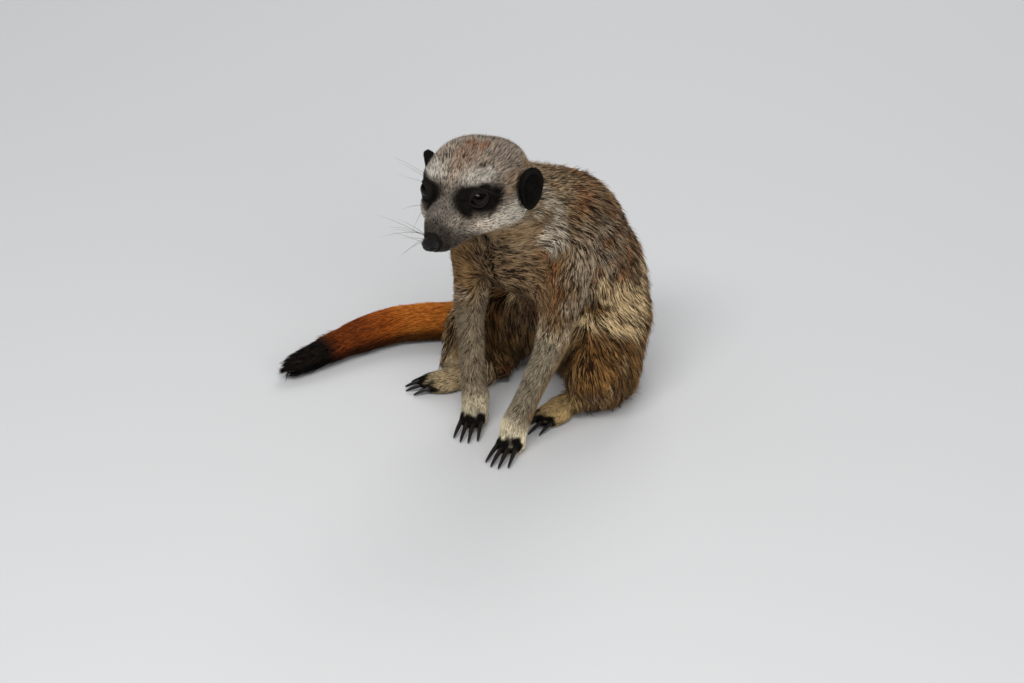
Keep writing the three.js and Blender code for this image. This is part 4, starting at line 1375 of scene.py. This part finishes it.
def eye_material():
    material, tree, shader = new_material("eye", roughness=0.05, gloss=0.13)
    place = {"Across": attribute(tree, "across"), "Up": attribute(tree, "up")}
    colour = put(tree, "ShaderNodeGroup", place, node_tree=eye_colour_group())
    tree.links.new(colour.outputs["Color"], shader["Base Color"])
    return material


EYE = eye_material()
print("material", EYE.name)

# %% [markdown]
# The ball is a sphere whose points near the line of sight stand out a little, and each point
# keeps how far across and up it lies from that line, which the material reads.

# %% Eyeballs
def globe(columns, rows):
    """Points and faces of a unit sphere."""
    work = bmesh.new()
    bmesh.ops.create_uvsphere(work, u_segments=columns, v_segments=rows, radius=1)
    bmesh.ops.triangulate(work, faces=work.faces)
    points = np.array([v.co[:] for v in work.verts])
    faces = np.array([[v.index for v in f.verts] for f in work.faces])
    work.free()
    return points, faces


CORNEA_BULGE, CORNEA_REACH = 0.3, 2.9  # mm
ball_ways, ball_faces = globe(64, 48)
for side, name in ((1, "left"), (-1, "right")):
    mirror = np.array([side, 1, 1])
    from_gaze = np.arccos(np.clip(ball_ways @ GAZE, -1, 1)) * EYE_RADIUS
    ball = ball_ways * (EYE_RADIUS + CORNEA_BULGE * bump_at(from_gaze, CORNEA_REACH))[:, None]
    faces = ball_faces if side > 0 else ball_faces[:, ::-1]
    piece = make_piece(f"eyeball_{name}", from_face((FACE_EYE + ball) * mirror), faces)
    flat = unit(np.stack([ball_ways @ OUT_OF_GAZE, ball_ways @ ABOVE_GAZE], 1))
    flat *= from_gaze[:, None]
    store(piece.data, "across", flat[:, 0])
    store(piece.data, "up", flat[:, 1])
    piece.data.materials.append(EYE)
    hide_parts(f"eye_{name}")
    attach(piece, "root")
print("two eyeballs of", len(ball_faces), "faces")

# %% [markdown]
# ## Nose
# The nose leather is a soft cushion with two comma-shaped nostrils that open sideways and a
# groove down its middle. Its pebbled surface is a bump of small cells, too fine for mesh, and
# the cracks between the cells are painted darker as painted shade.

# %% Nose
def nose_material():
    material, tree, shader = new_material("nose", roughness=0.4, gloss=0.4)
    pebbles = put(tree, "ShaderNodeTexVoronoi", {"Scale": 1900.0}, feature="DISTANCE_TO_EDGE")
    height = stretch(tree, pebbles.outputs["Distance"], 0, 0.25)
    bump(tree, shader, height, 0.8, 0.00025)
    # painted shade: the cracks between the pebbles are darker than their tops
    tone = mix(tree, height, (0.004, 0.003, 0.003, 1), (0.017, 0.013, 0.011, 1))
    tree.links.new(tone, shader["Base Color"])
    return material


NOSE_RADII = np.array([4.8, 4.0, 3.8])
NOSTRIL, NOSTRIL_RADII, NOSTRIL_DEPTH = np.array([2.7, -3.4, -0.4]), [1.15, 2.4, 0.95], 1.5
SLIT, SLIT_RADII = NOSTRIL + [1.4, 1.2, -0.5], [1.3, 2.0, 0.5]  # the comma's tail, at the side
GROOVE_WIDTH, GROOVE_DEPTH = 0.45, 0.4  # mm, down the middle of the nose
nose_ways, nose_faces = globe(96, 72)
nose = nose_ways * NOSE_RADII
fold = to_left(nose)
pit = bump_at(np.linalg.norm((fold - NOSTRIL) / NOSTRIL_RADII, axis=1), 0.85)
slit = bump_at(np.linalg.norm((fold - SLIT) / SLIT_RADII, axis=1), 0.8)
groove = bump_at(nose[:, 0], GROOVE_WIDTH) * ramp(-nose[:, 1], 0.5, 2.5)
groove *= ramp(1.5 - nose[:, 2], 0, 3)
inward = 0.7 * (np.array([0, 1, 0]) - nose_ways)
sunk = NOSTRIL_DEPTH * np.maximum(pit, 0.6 * slit) + GROOVE_DEPTH * groove
nose = nose + inward * sunk[:, None]
nose_middle = to_face(middle_of("nose")) * [0, 1, 1]
piece = make_piece("nose_leather", from_face(nose + nose_middle), nose_faces)
piece.data.materials.append(nose_material())
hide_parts("nose")
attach(piece, "root")
print("nose of", len(nose_faces), "faces")

# %% [markdown]
# ## Ears
# The ears are small black crescents that can close against the sand. The solid's shell is
# copied and rounded by a subdivision surface, and a velvet of very short black spikes is
# grown outwards over it, which gives the soft edge.

# %% Ears
def dark_material(name, colour, roughness, lift, gloss=0.3):
    """A dark finish whose tone wanders a little."""
    material, tree, shader = new_material(name, roughness, gloss)
    low, high = np.array(colour), np.array(colour) * lift
    tone = mix(tree, noise(tree, 220.0, 3.0), (*low, 1), (*high, 1))
    tree.links.new(tone, shader["Base Color"])
    return material


def rounded(names, grow, levels):
    """Nodes copied as one mesh, swollen a little and rounded."""
    lump = make_piece("lump", *joined(names, grow))
    lump.modifiers.new("round", "SUBSURF").levels = levels
    lump.modifiers["round"].render_levels = levels
    mesh = with_modifiers(lump)
    points, faces = read_mesh(mesh)
    bpy.data.meshes.remove(mesh)
    return points, faces


EAR = dark_material("ear", (0.004, 0.0035, 0.003), 0.8, 2.0, gloss=0.08)
EAR_BLACK = pair((17, 15, 13), (8, 7, 6), 0.5)
VELVET = {
    "density": 1, "length": 2.2, "width": 0.3, "rise": 0.55, "swirl": 0.3, "clump": 0, "free": 0}
VELVET_COUNT = 3500
for side in ("left", "right"):
    points, faces = rounded([f"ear_{side}"], -0.2, 2)
    piece = make_piece(f"ear_shell_{side}", points, faces)
    piece.data.materials.append(EAR)
    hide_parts(f"ear_{side}")
    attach(piece, "root")
    outwards = in_plane(unit(points - middle_of(f"ear_{side}")), normals_of(points, faces))
    everywhere = {name: np.full(len(points), float(value)) for name, value in VELVET.items()}
    velvet_marks = np.tile(EAR_BLACK, (len(points), 1))
    shell = Surface(points, faces, lie=outwards, marks=velvet_marks, **everywhere)
    whole = np.ones(len(faces), bool)
    grow_locks(f"ear_velvet_{side}", shell, whole, VELVET_COUNT, 60, EVEN, spikes=True)

# %% [markdown]
# ## Claws and whiskers
# A meerkat digs with long horn claws. They are the solids' own, rounded, one piece to a foot.
# Whiskers are single stiff hairs, so each is a thin tapering tube with a bend.

# %% Claws
HORN = dark_material("horn", (0.010, 0.008, 0.007), 0.3, 2.5)
CLAW_GROWTH = 0.4  # mm: rounding thins a claw, and this makes up for it
for foot in ("front_left", "front_right", "hind_left", "hind_right"):
    names = sorted(name for name in frame["nodes"] if name.startswith(f"claw_{foot}"))
    piece = make_piece(f"claws_{foot}", *rounded(names, CLAW_GROWTH, 2))
    piece.data.materials.append(HORN)
    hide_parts(*names)
    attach(piece, "root")
print("claws rounded")

# %% Whiskers
WHISKER_ROWS = (  # root and way in the face's frame, how many, spread, length
    ((6.0, -48, -8.5), (0.9, 0.25, 0.05), 5, 0.55, 34),
    ((6.5, -44, -11.0), (0.85, 0.35, -0.35), 4, 0.5, 28),
    ((10.0, -29, 12.5), (0.8, -0.1, 0.5), 3, 0.4, 32),
    ((20.0, -18, -9.0), (0.8, 0.1, -0.4), 2, 0.5, 20),
)
WHISKER_WIDTH, WHISKER_SAG, WHISKER_SUNK = 0.26, 0.16, 0.6  # mm, a share of its length, mm
RINGS, SIDES = 9, 3
ALONG_WHISKER = np.linspace(0, 1, RINGS)[:, None]


def whisker_path(rng, root, way, spread, length):
    """Points along one whisker on the left, from just inside the skin to its drooping tip."""
    start = np.array(root) + rng.normal(0, 1.3, 3)
    heading = unit(np.array(way) + rng.uniform(-spread, spread, 3))
    reach = length * rng.uniform(0.7, 1.2)
    bend = unit(rng.normal(size=3)) * 0.5 + [0, 0, -1]
    path = start + heading * reach * ALONG_WHISKER + bend * WHISKER_SAG * reach * ALONG_WHISKER**2
    return path - path[0] + settle_on(face_tree, path[:1]) - heading * WHISKER_SUNK


def tube(path):
    """Points and faces of a tapering tube along a path."""
    ahead_of = unit(np.gradient(path, axis=0))
    u = unit(np.cross(ahead_of, [0.1, 0.2, 1]))
    v = np.cross(ahead_of, u)
    girth = WHISKER_WIDTH / 2 * (1 - 0.85 * ALONG_WHISKER)
    angles = np.arange(SIDES) * 2 * np.pi / SIDES
    rings = [path + (u * np.cos(a) + v * np.sin(a)) * girth for a in angles]
    faces = []
    for first in range(0, SIDES * (RINGS - 1), SIDES):
        for i in range(SIDES):
            a, b = first + i, first + (i + 1) % SIDES
            faces += [[a, b, b + SIDES], [a, b + SIDES, a + SIDES]]
    last = SIDES * (RINGS - 1)
    faces += [[0, 2, 1], [last, last + 1, last + 2]]
    return np.stack(rings, 1).reshape(-1, 3), np.array(faces)


def whiskers():
    rng = np.random.default_rng(77)
    points, faces = [], []
    for side in (1, -1):
        for root, way, count, spread, length in WHISKER_ROWS:
            for _ in range(count):
                path = whisker_path(rng, root, way, spread, length) * [side, 1, 1]
                ring_points, ring_faces = tube(path)
                faces.append(ring_faces + len(points) * SIDES * RINGS)
                points.append(ring_points)
    return from_face(np.concatenate(points)), np.concatenate(faces)


piece = make_piece("whiskers", *whiskers())
piece.data.materials.append(dark_material("whisker", (0.03, 0.02, 0.013), 0.45, 1.8))
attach(piece, "root")
print("whiskers:", len(piece.data.polygons), "triangles")
